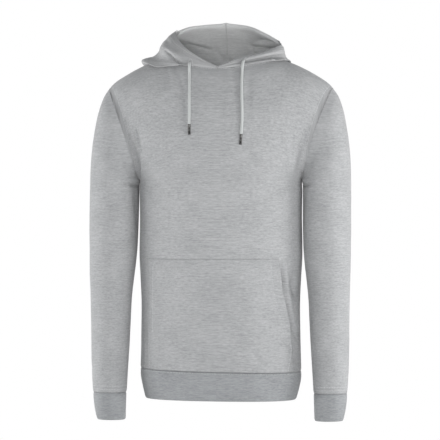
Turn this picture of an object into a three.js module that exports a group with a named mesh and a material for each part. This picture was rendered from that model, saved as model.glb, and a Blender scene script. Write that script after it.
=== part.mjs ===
// Pullover hoodie, filled out and hollow, as it hangs on a wearer.
// Millimetres. +X is the viewer's right, -Y the front, +Z up. The origin is the middle of the neck base.
import * as THREE from 'three';

// Cloth and seams
const WALL = 2.0;
const SEAM_GAP = 0.3;
const HALF_GAP = SEAM_GAP / 2;

// Body, from the hem seam to the shoulder
const HEM_SEAM_Z = -606;
const UNDERARM = { x: 166, z: -224 };
const SHOULDER_TIP = { x: 228, z: -37 };
const BODY_ROUNDNESS = 2.4;
const BODY_ROWS_LOW = 13;
const BODY_ROWS_HIGH = 12;
const FRONT_COLUMNS = 28;
const BACK_COLUMNS = 24;

// How the rows above the underarm swing from level lines to the neckline and shoulder seam
const SHOULDER_PULL_POWER = 3;
const SHOULDER_LIFT_POWER = 1.5;
const NECK_PULL_SHARE = 0.5;
const NECK_PULL_REACH = 0.8;
const CORNER_SPREAD = 0.5;
const CORNER_SAMPLES = 9;

// Depth of a body section below which a fold on it fades out towards the side seam
const FOLD_FADE_DEPTH = 40;

// Neckline ring
const NECK_HALF_WIDTH = 125;
const NECK_SIDE_Z = 20;
const NECK_RISE_POWER = 1.5;
const NECK_SHARE = 0.5;

// Hem band
const HEM_BOTTOM_Z = -668;
const HEM_COLUMNS = 44;

// Sleeve and cuff rings
const SLEEVE_AROUND = 18;
const SLEEVE_ALONG = 20;
const CUFF_SEAM_Z = -656;
const CUFF_BOTTOM_Z = -712;

// Hood
const HOOD_LEAN = 0.45;
const HOOD_ALONG = 18;
const HOOD_UP = 24;

// Pocket
const POCKET_TOP_Z = -382;
const POCKET_CLEAR = 0.9;
const POCKET_ACROSS = 18;
const POCKET_UP = 12;
const EDGE_SEARCH_STEPS = 30;
const SMALL_STEP = 1e-3;

// Drawcords and their metal tips
const CORD_DIAMETER = 6;
const CORD_SIDES = 10;
const AGLET_DIAMETER = 5.6;
const AGLET_LENGTH = 21;
const AGLET_SIDES = 16;

// Half width of the body by height
const BODY_WIDTH = [
  { z: -606, halfWidth: 164 },
  { z: -547, halfWidth: 162.5 },
  { z: -473, halfWidth: 161.5 },
  { z: -424, halfWidth: 163.5 },
  { z: -375, halfWidth: 166 },
  { z: -300, halfWidth: 165 },
  { z: -224, halfWidth: 166 },
];

// Each body panel: which way it faces, its armhole and how deep it stands by height
const FRONT_PANEL = {
  facing: -1,
  armholeDepth: 62,
  armholeBow: 5,
  neckDepth: 75,
  neckZ: 0,
  depth: [
    { z: -606, depth: 110 },
    { z: -520, depth: 115 },
    { z: -424, depth: 118 },
    { z: -300, depth: 122 },
    { z: -224, depth: 124 },
    { z: -150, depth: 121 },
    { z: -100, depth: 113 },
    { z: -50, depth: 98 },
    { z: -20, depth: 84 },
    { z: 0, depth: 75 },
  ],
};
const BACK_PANEL = {
  facing: 1,
  armholeDepth: 62,
  armholeBow: 0,
  neckDepth: 70,
  neckZ: 4,
  depth: [
    { z: -606, depth: 112 },
    { z: -520, depth: 106 },
    { z: -424, depth: 103 },
    { z: -300, depth: 106 },
    { z: -224, depth: 111 },
    { z: -150, depth: 113 },
    { z: -100, depth: 109 },
    { z: -50, depth: 97 },
    { z: -20, depth: 85 },
    { z: 4, depth: 70 },
  ],
};

// Height of the shoulder seam by distance from the middle
const SHOULDER_LINE = [
  { x: 125, z: 20 },
  { x: 147, z: 11 },
  { x: 177, z: -4 },
  { x: 206, z: -20 },
  { x: 220, z: -29 },
  { x: 228, z: -37 },
];

// Soft troughs pressed into the front, from one end of each to the other
const FRONT_FOLDS = [
  { name: 'left cord', x1: -95, z1: -5, x2: -72, z2: -130, width: 13, depth: 4 },
  { name: 'right cord', x1: 24, z1: -10, x2: 40, z2: -135, width: 13, depth: 4 },
  { name: 'left underarm', x1: -176, z1: -120, x2: -150, z2: -165, width: 14, depth: 5 },
  { name: 'right underarm', x1: 178, z1: -125, x2: 152, z2: -170, width: 14, depth: 4 },
];
const BACK_FOLDS = [
  { name: 'left blade', x1: -160, z1: -150, x2: -118, z2: -215, width: 16, depth: 5 },
  { name: 'right blade', x1: 158, z1: -158, x2: 112, z2: -230, width: 16, depth: 5 },
  { name: 'waist', x1: -70, z1: -505, x2: 64, z2: -520, width: 18, depth: 5 },
];

// Sleeve sections, from the armhole to the cuff seam: outer and inner edge as seen from the front
const SLEEVE_SECTIONS = [
  { outerX: 228, outerZ: -37, innerX: 166, innerZ: -224, middleY: 0, halfDepth: 62 },
  { outerX: 241, outerZ: -57, innerX: 167.4, innerZ: -238, middleY: -2, halfDepth: 64 },
  { outerX: 250.5, outerZ: -85, innerX: 167.6, innerZ: -254, middleY: -4, halfDepth: 66 },
  { outerX: 257.5, outerZ: -120, innerX: 167.7, innerZ: -272, middleY: -6, halfDepth: 67 },
  { outerX: 262.5, outerZ: -155, innerX: 167.9, innerZ: -291, middleY: -9, halfDepth: 66 },
  { outerX: 265.5, outerZ: -195, innerX: 168.2, innerZ: -313, middleY: -12, halfDepth: 64 },
  { outerX: 266.5, outerZ: -240, innerX: 168.8, innerZ: -338, middleY: -15, halfDepth: 61 },
  { outerX: 267, outerZ: -290, innerX: 170, innerZ: -366, middleY: -18, halfDepth: 58 },
  { outerX: 267, outerZ: -345, innerX: 173, innerZ: -398, middleY: -21, halfDepth: 55 },
  { outerX: 266.5, outerZ: -398, innerX: 177, innerZ: -431, middleY: -23, halfDepth: 52 },
  { outerX: 265, outerZ: -449, innerX: 180.5, innerZ: -466, middleY: -25, halfDepth: 50 },
  { outerX: 264, outerZ: -500, innerX: 182.5, innerZ: -508, middleY: -26, halfDepth: 47.5 },
  { outerX: 263, outerZ: -555, innerX: 185, innerZ: -558, middleY: -26, halfDepth: 44.5 },
  { outerX: 262, outerZ: -605, innerX: 188, innerZ: -606, middleY: -26, halfDepth: 41.5 },
  { outerX: 259.5, outerZ: CUFF_SEAM_Z, innerX: 191, innerZ: CUFF_SEAM_Z, middleY: -26, halfDepth: 38 },
];

// Cuff sections, from the seam down
const CUFF_SECTIONS = [
  { z: CUFF_SEAM_Z - SEAM_GAP, outerX: 259, innerX: 191.5, middleY: -26, halfDepth: 37.5 },
  { z: -668, outerX: 258.5, innerX: 191.8, middleY: -26, halfDepth: 36.5 },
  { z: -690, outerX: 256, innerX: 192.5, middleY: -26, halfDepth: 34.5 },
  { z: CUFF_BOTTOM_Z, outerX: 251, innerX: 193, middleY: -26, halfDepth: 32 },
];

// Hem band sections, from the seam down
const HEM_SECTIONS = [
  { z: HEM_SEAM_Z - SEAM_GAP, halfWidth: 163.5, front: 109.5, back: 111.5 },
  { z: -622, halfWidth: 163.5, front: 110, back: 112 },
  { z: -645, halfWidth: 159.5, front: 107, back: 109 },
  { z: HEM_BOTTOM_Z, halfWidth: 154, front: 102, back: 104 },
];

// Hood sections at angles round the neck, 0 at the front and 180 at the back. Each goes from the neck seam
// over the low fold (tip) and its return (crease) up the wall to the top, and over the roll to the rim.
// "out" is away from the neckline and "up" above it.
const HOOD_COLUMNS = ['low', 'tip', 'crease', 'wall', 'top', 'roll', 'rim'];
const HOOD_LEFT = [
  { angle: 0, lowOut: 1, lowUp: 2, tipOut: 2, tipUp: 3.5, creaseOut: 2, creaseUp: 5,
    wallOut: 2, wallUp: 7, topOut: 2, topUp: 8.5, rollOut: 2, rollUp: 10, rimOut: 2, rimUp: 11.5 },
  { angle: 15, lowOut: 2, lowUp: 3, tipOut: 3, tipUp: 6, creaseOut: 3, creaseUp: 9,
    wallOut: 3, wallUp: 12, topOut: 2, topUp: 14.5, rollOut: 2, rollUp: 16.5, rimOut: 1, rimUp: 18.5 },
  { angle: 30, lowOut: 4, lowUp: 1, tipOut: 7, tipUp: 2, creaseOut: 5, creaseUp: 10,
    wallOut: 5, wallUp: 19, topOut: 3, topUp: 25, rollOut: 2, rollUp: 29, rimOut: 0, rimUp: 33 },
  { angle: 45, lowOut: 8, lowUp: -3, tipOut: 15, tipUp: -6, creaseOut: 9, creaseUp: 7,
    wallOut: 8, wallUp: 24, topOut: 2, topUp: 36, rollOut: -4, rollUp: 43, rimOut: -10, rimUp: 49 },
  { angle: 60, lowOut: 13, lowUp: -2.5, tipOut: 25, tipUp: -11, creaseOut: 9, creaseUp: 8,
    wallOut: 9, wallUp: 27, topOut: -3, topUp: 46, rollOut: -14, rollUp: 55, rimOut: -24, rimUp: 62 },
  { angle: 90, lowOut: 24, lowUp: -8, tipOut: 33, tipUp: -2, creaseOut: 4, creaseUp: 10,
    wallOut: -6, wallUp: 29, topOut: -18, topUp: 43, rollOut: -29, rollUp: 53, rimOut: -38, rimUp: 61 },
  { angle: 115, lowOut: 15, lowUp: 0, tipOut: 38, tipUp: -12, creaseOut: 26, creaseUp: 9,
    wallOut: 5, wallUp: 33, topOut: -20, topUp: 51, rollOut: -26, rollUp: 57, rimOut: -25, rimUp: 60 },
  { angle: 140, lowOut: 14, lowUp: -4, tipOut: 44, tipUp: -48, creaseOut: 54, creaseUp: -4,
    wallOut: 27, wallUp: 38, topOut: -21, topUp: 72, rollOut: -14, rollUp: 75, rimOut: -1, rimUp: 66 },
  { angle: 160, lowOut: 15, lowUp: -6, tipOut: 50, tipUp: -76, creaseOut: 72, creaseUp: -26,
    wallOut: 43, wallUp: 40, topOut: -6, topUp: 82, rollOut: 3, rollUp: 85, rimOut: 20, rimUp: 64 },
  { angle: 180, lowOut: 16, lowUp: -7, tipOut: 52, tipUp: -84, creaseOut: 78, creaseUp: -34,
    wallOut: 48, wallUp: 42, topOut: -2, topUp: 89, rollOut: 8, rollUp: 92, rimOut: 26, rimUp: 66 },
];
const HOOD_RIGHT = [
  { angle: 0, lowOut: 1, lowUp: 2, tipOut: 2, tipUp: 3.5, creaseOut: 2, creaseUp: 5,
    wallOut: 2, wallUp: 7, topOut: 2, topUp: 8.5, rollOut: 2, rollUp: 10, rimOut: 2, rimUp: 11.5 },
  { angle: 15, lowOut: 2, lowUp: 3, tipOut: 3, tipUp: 5, creaseOut: 1, creaseUp: 8,
    wallOut: 3, wallUp: 10, topOut: 3, topUp: 12.5, rollOut: 2, rollUp: 14.5, rimOut: 0, rimUp: 16 },
  { angle: 30, lowOut: 3, lowUp: 3, tipOut: 6, tipUp: 5, creaseOut: 1, creaseUp: 9,
    wallOut: 4, wallUp: 13.5, topOut: 4, topUp: 16.5, rollOut: 2, rollUp: 18, rimOut: -1, rimUp: 19.5 },
  { angle: 45, lowOut: 5, lowUp: 2, tipOut: 9, tipUp: 5, creaseOut: 1, creaseUp: 9,
    wallOut: 4, wallUp: 14, topOut: 4, topUp: 18, rollOut: 1, rollUp: 20.5, rimOut: -2, rimUp: 22 },
  { angle: 60, lowOut: 7, lowUp: 1, tipOut: 11, tipUp: 3, creaseOut: 1, creaseUp: 8.5,
    wallOut: 4, wallUp: 15, topOut: 3, topUp: 20.5, rollOut: 0, rollUp: 24, rimOut: -4, rimUp: 26.5 },
  { angle: 90, lowOut: 8, lowUp: -1, tipOut: 12, tipUp: -1, creaseOut: 3, creaseUp: 7,
    wallOut: 2, wallUp: 16, topOut: 1, topUp: 23, rollOut: -2, rollUp: 28, rimOut: -5, rimUp: 32 },
  { angle: 115, lowOut: 13, lowUp: 0, tipOut: 27, tipUp: -9, creaseOut: 18, creaseUp: 7,
    wallOut: 8, wallUp: 25, topOut: -6, topUp: 38, rollOut: -5, rollUp: 41, rimOut: -1, rimUp: 40 },
  { angle: 140, lowOut: 14, lowUp: -4, tipOut: 44, tipUp: -48, creaseOut: 54, creaseUp: -4,
    wallOut: 29, wallUp: 32, topOut: -7, topUp: 61, rollOut: -1, rollUp: 64, rimOut: 11, rimUp: 52 },
  { angle: 160, lowOut: 15, lowUp: -6, tipOut: 50, tipUp: -76, creaseOut: 72, creaseUp: -26,
    wallOut: 43, wallUp: 38, topOut: 0, topUp: 80, rollOut: 9, rollUp: 83, rimOut: 24, rimUp: 62 },
  { angle: 180, lowOut: 16, lowUp: -7, tipOut: 52, tipUp: -84, creaseOut: 78, creaseUp: -34,
    wallOut: 48, wallUp: 42, topOut: -2, topUp: 89, rollOut: 8, rollUp: 92, rimOut: 26, rimUp: 66 },
];

// How far the pocket reaches to either side by height, its slanted hand openings included
const POCKET_EDGE = [
  { z: HEM_SEAM_Z, left: 140, right: 143 },
  { z: -560, left: 142, right: 151 },
  { z: -538, left: 142, right: 149 },
  { z: -504, left: 141.5, right: 143 },
  { z: -471, left: 141, right: 136.5 },
  { z: -449, left: 140.5, right: 132 },
  { z: -406, left: 140, right: 128 },
  { z: POCKET_TOP_Z, left: 140, right: 126.5 },
];

// Routes of the free cords, from the stitched hole in the hood to the metal tip
const CORD_LEFT = [
  [-56, -74.9, 11], [-56, -79.3, 10.1], [-56.1, -82.9, 7.5], [-56, -85.4, 1], [-55.6, -86.6, -8],
  [-55, -92.5, -24], [-54.4, -100.6, -45], [-53.8, -107, -66], [-53.4, -112, -88], [-53.2, -115.9, -112],
];
const CORD_RIGHT = [
  [52.5, -69.8, 16], [52.3, -74.4, 15.1], [51.8, -78.4, 12.3], [51, -82, 5], [50.4, -84.4, -6],
  [50.2, -92.4, -24], [51, -101, -45], [52, -107.6, -66], [53, -112, -88], [52.8, -115.4, -110],
  [51.4, -118.8, -132],
];

// Colours from the photo, with their roughness
const CLOTH = { color: 0xb1b2b4, roughness: 0.92, metalness: 0 };
const HOOD_CLOTH = { color: 0xa6a8aa, roughness: 0.92, metalness: 0 };
const BAND_CLOTH = { color: 0xa3a6a9, roughness: 0.9, metalness: 0 };
const CORD_CLOTH = { color: 0xc6c8c9, roughness: 0.85, metalness: 0 };
const METAL = { color: 0x4b4b4d, roughness: 0.35, metalness: 1 };

// Value of a column of a table at a given place, smoothly between the rows.
function smoothColumn(table, key, column, place) {
  const rising = table[table.length - 1][key] > table[0][key];
  let row = 0;
  while (row < table.length - 2 && (rising ? place > table[row + 1][key] : place < table[row + 1][key])) {
    row += 1;
  }
  const before = table[Math.max(row - 1, 0)];
  const low = table[row];
  const high = table[row + 1];
  const after = table[Math.min(row + 2, table.length - 1)];
  const step = high[key] - low[key];
  const t = THREE.MathUtils.clamp((place - low[key]) / step, 0, 1);
  const slopeLow = (high[column] - before[column]) / (high[key] - before[key]) * step;
  const slopeHigh = (after[column] - low[column]) / (after[key] - low[key]) * step;
  const t2 = t * t;
  const t3 = t2 * t;
  return (2 * t3 - 3 * t2 + 1) * low[column] + (t3 - 2 * t2 + t) * slopeLow
    + (3 * t2 - 2 * t3) * high[column] + (t3 - t2) * slopeHigh;
}

// The depth that soft troughs take out of a panel at a place seen from the front.
function foldDepth(folds, x, z) {
  let total = 0;
  for (const fold of folds) {
    const alongX = fold.x2 - fold.x1;
    const alongZ = fold.z2 - fold.z1;
    const lengthSquared = alongX * alongX + alongZ * alongZ;
    const share = ((x - fold.x1) * alongX + (z - fold.z1) * alongZ) / lengthSquared;
    const t = THREE.MathUtils.clamp(share, 0, 1);
    const away = Math.hypot(x - fold.x1 - t * alongX, z - fold.z1 - t * alongZ);
    total += fold.depth * Math.exp(-((away / fold.width) ** 2));
  }
  return total;
}

// The armhole seam: turn 0 is the underarm and PI the shoulder tip.
function armholePoint(panel, turn) {
  const along = -Math.cos(turn);
  const middleX = (SHOULDER_TIP.x + UNDERARM.x) / 2;
  const middleZ = (SHOULDER_TIP.z + UNDERARM.z) / 2;
  const bow = panel.armholeBow * Math.sin(turn) ** 2;
  return {
    x: middleX + along * (SHOULDER_TIP.x - UNDERARM.x) / 2 - bow,
    depth: panel.armholeDepth * Math.sin(turn),
    z: middleZ + along * (SHOULDER_TIP.z - UNDERARM.z) / 2,
  };
}

// The neckline: angle 0 is the front middle, PI / 2 the side and PI the back middle.
function necklinePoint(angle) {
  const panel = angle <= Math.PI / 2 ? FRONT_PANEL : BACK_PANEL;
  const sideShare = Math.abs(Math.sin(angle)) ** NECK_RISE_POWER;
  return {
    x: NECK_HALF_WIDTH * Math.sin(angle),
    depth: panel.neckDepth * Math.abs(Math.cos(angle)),
    z: THREE.MathUtils.lerp(panel.neckZ, NECK_SIDE_Z, sideShare),
  };
}

// The upper edge of a panel: half the neckline and then the shoulder seam.
function topEdgePoint(panel, across) {
  if (across <= NECK_SHARE) {
    const turn = across / NECK_SHARE * Math.PI / 2;
    return necklinePoint(panel.facing < 0 ? turn : Math.PI - turn);
  }
  const x = THREE.MathUtils.mapLinear(across, NECK_SHARE, 1, NECK_HALF_WIDTH, SHOULDER_TIP.x);
  return { x, depth: 0, z: smoothColumn(SHOULDER_LINE, 'x', 'z', x) };
}

// The upper edge with its corner rounded off, more the further a row lies below it.
function softTopPoint(panel, share, rise) {
  const spread = Math.min(CORNER_SPREAD * (1 - rise), share, 1 - share);
  const total = { x: 0, depth: 0, z: 0 };
  for (let sample = 0; sample < CORNER_SAMPLES; sample += 1) {
    const offset = spread * (2 * sample / (CORNER_SAMPLES - 1) - 1);
    const point = topEdgePoint(panel, share + offset);
    total.x += point.x / CORNER_SAMPLES;
    total.depth += point.depth / CORNER_SAMPLES;
    total.z += point.z / CORNER_SAMPLES;
  }
  return total;
}

// A point on a body section that is cut off at the given edge.
function sectionPoint(edgeX, edgeDepth, depth, across) {
  const cut = (1 - (edgeDepth / depth) ** BODY_ROUNDNESS) ** (1 / BODY_ROUNDNESS);
  const fullWidth = edgeX / cut;
  const turn = across * Math.asin(Math.min(1, cut ** (BODY_ROUNDNESS / 2)));
  return {
    x: fullWidth * Math.sin(turn) ** (2 / BODY_ROUNDNESS),
    depth: depth * Math.max(0, Math.cos(turn)) ** (2 / BODY_ROUNDNESS),
  };
}

// A point of a body panel. across runs -1 to 1, up runs 0 at the hem, 1 at the underarm, 2 at the top.
function panelPoint(panel, folds, across, up) {
  const side = Math.sign(across);
  const share = Math.abs(across);
  let x;
  let depth;
  let z;
  if (up <= 1) {
    z = THREE.MathUtils.lerp(HEM_SEAM_Z, UNDERARM.z, up);
    const halfWidth = smoothColumn(BODY_WIDTH, 'z', 'halfWidth', z);
    const middleDepth = smoothColumn(panel.depth, 'z', 'depth', z);
    ({ x, depth } = sectionPoint(halfWidth, 0, middleDepth, share));
  } else {
    const rise = up - 1;
    const edge = armholePoint(panel, rise * Math.PI);
    const middleZ = THREE.MathUtils.lerp(UNDERARM.z, panel.neckZ, rise);
    const middleDepth = smoothColumn(panel.depth, 'z', 'depth', middleZ);
    const plain = sectionPoint(edge.x, edge.depth, middleDepth, share);
    const plainZ = middleZ + (edge.z - middleZ) * (plain.x / edge.x) ** 2;
    const top = softTopPoint(panel, share, rise);
    const pull = rise ** SHOULDER_PULL_POWER;
    const lift = THREE.MathUtils.smoothstep(rise, 0, 1) ** SHOULDER_LIFT_POWER;
    const neckPull = NECK_PULL_SHARE * (1 - THREE.MathUtils.smoothstep(share, 0, NECK_PULL_REACH));
    x = THREE.MathUtils.lerp(plain.x, top.x, pull);
    depth = THREE.MathUtils.lerp(plain.depth, top.depth, pull);
    z = THREE.MathUtils.lerp(plainZ, top.z, THREE.MathUtils.lerp(lift, pull, neckPull));
    if (share === 1) {
      ({ x, depth, z } = edge);
    }
  }
  depth -= Math.min(1, depth / FOLD_FADE_DEPTH) * foldDepth(folds, side * x, z);
  return new THREE.Vector3(side * x, panel.facing * (depth + HALF_GAP), z);
}

// A closed wall from a grid of outer points and one of inner points.
function wallGeometry(outer, inner, wraps) {
  const rows = outer.length;
  const columns = outer[0].length;
  const lastColumn = wraps ? columns : columns - 1;
  const at = (layer, row, column) => (layer * rows + row) * columns + column % columns;
  const positions = [outer, inner].flat(2).flatMap((point) => point.toArray());
  const index = [];
  const quad = (a, b, c, d) => index.push(a, b, c, a, c, d);
  for (let row = 0; row < rows - 1; row += 1) {
    for (let column = 0; column < lastColumn; column += 1) {
      quad(at(0, row, column), at(0, row, column + 1), at(0, row + 1, column + 1), at(0, row + 1, column));
      quad(at(1, row, column), at(1, row + 1, column), at(1, row + 1, column + 1), at(1, row, column + 1));
    }
  }
  const top = rows - 1;
  for (let column = 0; column < lastColumn; column += 1) {
    quad(at(0, 0, column + 1), at(0, 0, column), at(1, 0, column), at(1, 0, column + 1));
    quad(at(0, top, column), at(0, top, column + 1), at(1, top, column + 1), at(1, top, column));
  }
  if (!wraps) {
    const end = columns - 1;
    for (let row = 0; row < rows - 1; row += 1) {
      quad(at(0, row, 0), at(0, row + 1, 0), at(1, row + 1, 0), at(1, row, 0));
      quad(at(0, row + 1, end), at(0, row, end), at(1, row, end), at(1, row + 1, end));
    }
  }
  const geometry = new THREE.BufferGeometry();
  geometry.setAttribute('position', new THREE.Float32BufferAttribute(positions, 3));
  geometry.setIndex(signedVolume(positions, index) < 0 ? index.reverse() : index);
  geometry.computeVertexNormals();
  return geometry;
}

// Six times the volume inside a closed mesh, negative where its faces point in.
function signedVolume(positions, index) {
  const corner = (place) => new THREE.Vector3().fromArray(positions, index[place] * 3);
  let total = 0;
  for (let place = 0; place < index.length; place += 3) {
    total += corner(place).dot(corner(place + 1).cross(corner(place + 2)));
  }
  return total;
}

// The way into the cloth at a point of a surface, from its neighbours on a grid.
function inwardAt(grid, row, column, wraps, inside) {
  const rows = grid.length;
  const columns = grid[0].length;
  const left = wraps ? (column + columns - 1) % columns : Math.max(column - 1, 0);
  const right = wraps ? (column + 1) % columns : Math.min(column + 1, columns - 1);
  const acrossWay = grid[row][right].clone().sub(grid[row][left]);
  const upWay = grid[Math.min(row + 1, rows - 1)][column].clone().sub(grid[Math.max(row - 1, 0)][column]);
  return acrossWay.cross(upWay).normalize().multiplyScalar(inside);
}

// A direction with the part of it that crosses a seam's plane taken out.
function keepBehind(direction, planeNormal) {
  const crossing = direction.dot(planeNormal);
  if (crossing > 0) {
    direction.addScaledVector(planeNormal, -crossing).normalize();
  }
  return direction;
}

// The inner points of a wall, with its edges kept behind their seams' planes.
function innerGrid(grid, wraps, inside, seamPlanes) {
  return grid.map((points, row) => points.map((point, column) => {
    const inward = inwardAt(grid, row, column, wraps, inside);
    for (const plane of seamPlanes(row, column)) {
      keepBehind(inward, plane);
    }
    return point.clone().addScaledVector(inward, WALL);
  }));
}

const ARMHOLE_OUT = new THREE.Vector3(UNDERARM.z - SHOULDER_TIP.z, 0, SHOULDER_TIP.x - UNDERARM.x)
  .normalize().negate();
const UP = new THREE.Vector3(0, 0, 1);
const DOWN = new THREE.Vector3(0, 0, -1);

// The armhole plane's direction away from the body on the given side.
function armholeOut(side) {
  return new THREE.Vector3(side * ARMHOLE_OUT.x, 0, ARMHOLE_OUT.z);
}

// The front or the back, as far as the side, armhole and shoulder seams.
function bodyPanel(panel, folds, columns) {
  const rows = BODY_ROWS_LOW + BODY_ROWS_HIGH;
  const grid = [];
  for (let row = 0; row <= rows; row += 1) {
    const up = row <= BODY_ROWS_LOW ? row / BODY_ROWS_LOW : 1 + (row - BODY_ROWS_LOW) / BODY_ROWS_HIGH;
    const points = [];
    for (let column = 0; column <= columns; column += 1) {
      points.push(panelPoint(panel, folds, 2 * column / columns - 1, up));
    }
    grid.push(points);
  }
  const across = new THREE.Vector3(0, -panel.facing, 0);
  const planes = (row, column) => {
    const list = [];
    const share = Math.abs(2 * column / columns - 1);
    if (row === 0) {
      list.push(UP, DOWN);
    }
    if (row <= BODY_ROWS_LOW && share === 1) {
      list.push(across);
    }
    if (row >= BODY_ROWS_LOW && share === 1) {
      list.push(armholeOut(Math.sign(2 * column - columns)));
    }
    if (row === rows && share >= NECK_SHARE) {
      list.push(across);
    }
    return list;
  };
  return wallGeometry(grid, innerGrid(grid, false, panel.facing, planes), false);
}

// The wall of a tube from its rings, with both ends cut along their seams' planes.
function tubeWall(grid, inside, firstPlane, lastPlane) {
  const planes = (row) => {
    if (row === 0) {
      return firstPlane;
    }
    return row === grid.length - 1 ? lastPlane : [];
  };
  return wallGeometry(grid, innerGrid(grid, true, inside, planes), true);
}

// Rings of a sleeve, from the slanted armhole to the level cuff seam.
function sleeveGrid(side) {
  const table = SLEEVE_SECTIONS.map((section, row) => ({ ...section, row }));
  const out = armholeOut(side);
  const grid = [];
  for (let step = 0; step <= SLEEVE_ALONG; step += 1) {
    const place = step / SLEEVE_ALONG * (table.length - 1);
    const value = (column) => smoothColumn(table, 'row', column, place);
    const nearArmhole = Math.max(0, 1 - place);
    const points = [];
    for (let turnStep = 0; turnStep < SLEEVE_AROUND; turnStep += 1) {
      const turn = turnStep / SLEEVE_AROUND * 2 * Math.PI;
      const along = Math.cos(turn);
      const bow = Math.sin(turn) > 0 ? FRONT_PANEL.armholeBow * Math.sin(turn) ** 2 * nearArmhole : 0;
      const middleX = (value('outerX') + value('innerX')) / 2;
      const middleZ = (value('outerZ') + value('innerZ')) / 2;
      const x = middleX + along * (value('outerX') - value('innerX')) / 2 - bow;
      const z = middleZ + along * (value('outerZ') - value('innerZ')) / 2;
      const y = value('middleY') - value('halfDepth') * Math.sin(turn);
      const point = new THREE.Vector3(side * x, y, z);
      point.addScaledVector(out, SEAM_GAP * nearArmhole);
      points.push(point);
    }
    grid.push(points);
  }
  return grid;
}

// Rings of a cuff.
function cuffGrid(side) {
  return CUFF_SECTIONS.map((section) => {
    const points = [];
    for (let turnStep = 0; turnStep < SLEEVE_AROUND; turnStep += 1) {
      const turn = turnStep / SLEEVE_AROUND * 2 * Math.PI;
      const middleX = (section.outerX + section.innerX) / 2;
      const x = middleX + Math.cos(turn) * (section.outerX - section.innerX) / 2;
      const y = section.middleY - section.halfDepth * Math.sin(turn);
      points.push(new THREE.Vector3(side * x, y, section.z));
    }
    return points;
  });
}

// Rings of the hem band, each round from the front middle past the right side.
function hemGrid() {
  const quarter = HEM_COLUMNS / 4;
  return HEM_SECTIONS.map((section) => {
    const points = [];
    for (let column = 0; column < HEM_COLUMNS; column += 1) {
      const quadrant = Math.floor(column / quarter);
      const share = (column % quarter) / quarter;
      const toSide = quadrant % 2 === 0 ? share : 1 - share;
      const facing = quadrant === 0 || quadrant === 3 ? -1 : 1;
      const side = quadrant < 2 ? 1 : -1;
      const depth = facing < 0 ? section.front : section.back;
      const place = sectionPoint(section.halfWidth, 0, depth, toSide);
      points.push(new THREE.Vector3(side * place.x, facing * place.depth, section.z));
    }
    return points;
  });
}

// A point of the hood: angle in degrees round the neck, up 0 at the neck seam and 1 at the rim.
function hoodPoint(stations, side, angle, up) {
  const base = necklinePoint(THREE.MathUtils.degToRad(angle));
  const radians = THREE.MathUtils.degToRad(angle);
  const depthHere = angle <= 90 ? FRONT_PANEL.neckDepth : BACK_PANEL.neckDepth;
  const outward = new THREE.Vector2(Math.sin(radians) / NECK_HALF_WIDTH, -Math.cos(radians) / depthHere)
    .normalize();
  const knots = [{ knot: 0, out: 0, up: 0 }];
  HOOD_COLUMNS.forEach((name, number) => {
    knots.push({
      knot: number + 1,
      out: smoothColumn(stations, 'angle', `${name}Out`, angle),
      up: smoothColumn(stations, 'angle', `${name}Up`, angle),
    });
  });
  const place = up * HOOD_COLUMNS.length;
  const out = smoothColumn(knots, 'knot', 'out', place) + WALL;
  const rise = smoothColumn(knots, 'knot', 'up', place);
  const facing = angle <= 90 ? -1 : 1;
  const lean = HOOD_LEAN * Math.max(0, rise);
  const x = base.x + outward.x * out;
  const y = facing * base.depth + outward.y * out + lean;
  return new THREE.Vector3(side * (x + HALF_GAP), y, base.z + rise + SEAM_GAP);
}

// Half of the hood, from the front middle round to the seam at the back.
function hoodPanel(stations, side) {
  const grid = [];
  for (let row = 0; row <= HOOD_UP; row += 1) {
    const points = [];
    for (let column = 0; column <= HOOD_ALONG; column += 1) {
      const angle = 180 * column / HOOD_ALONG;
      points.push(hoodPoint(stations, side, angle, row / HOOD_UP));
    }
    grid.push(points);
  }
  const middle = new THREE.Vector3(-side, 0, 0);
  const planes = (row, column) => {
    const list = [];
    if (row === 0) {
      list.push(UP, DOWN);
    }
    if (column === 0 || column === HOOD_ALONG) {
      list.push(middle, middle.clone().negate());
    }
    return list;
  };
  return wallGeometry(grid, innerGrid(grid, false, -side, planes), false);
}

// The share of the way across the front panel at which it is as wide as asked for.
function acrossAtWidth(width, up) {
  let low = 0;
  let high = 1;
  for (let step = 0; step < EDGE_SEARCH_STEPS; step += 1) {
    const middle = (low + high) / 2;
    if (panelPoint(FRONT_PANEL, [], middle, up).x < width) {
      low = middle;
    } else {
      high = middle;
    }
  }
  return (low + high) / 2;
}

// The pocket, laid on the front's own points and moved out.
function pocketPanel() {
  const outer = [];
  const inner = [];
  for (let row = 0; row <= POCKET_UP; row += 1) {
    const z = THREE.MathUtils.lerp(HEM_SEAM_Z, POCKET_TOP_Z, row / POCKET_UP);
    const up = (z - HEM_SEAM_Z) / (UNDERARM.z - HEM_SEAM_Z);
    const leftEdge = -acrossAtWidth(smoothColumn(POCKET_EDGE, 'z', 'left', z), up);
    const rightEdge = acrossAtWidth(smoothColumn(POCKET_EDGE, 'z', 'right', z), up);
    const outerRow = [];
    const innerRow = [];
    for (let column = 0; column <= POCKET_ACROSS; column += 1) {
      const across = THREE.MathUtils.lerp(leftEdge, rightEdge, column / POCKET_ACROSS);
      const base = panelPoint(FRONT_PANEL, FRONT_FOLDS, across, up);
      const right = panelPoint(FRONT_PANEL, [], across + SMALL_STEP, up);
      const left = panelPoint(FRONT_PANEL, [], across - SMALL_STEP, up);
      const away = right.sub(left).cross(UP).normalize();
      innerRow.push(base.clone().addScaledVector(away, POCKET_CLEAR));
      outerRow.push(base.clone().addScaledVector(away, POCKET_CLEAR + WALL));
    }
    inner.push(innerRow);
    outer.push(outerRow);
  }
  return wallGeometry(outer, inner, false);
}

// A smooth curve through a cord's points.
function cordRoute(points) {
  return new THREE.CatmullRomCurve3(points.map((point) => new THREE.Vector3(...point)));
}

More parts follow.
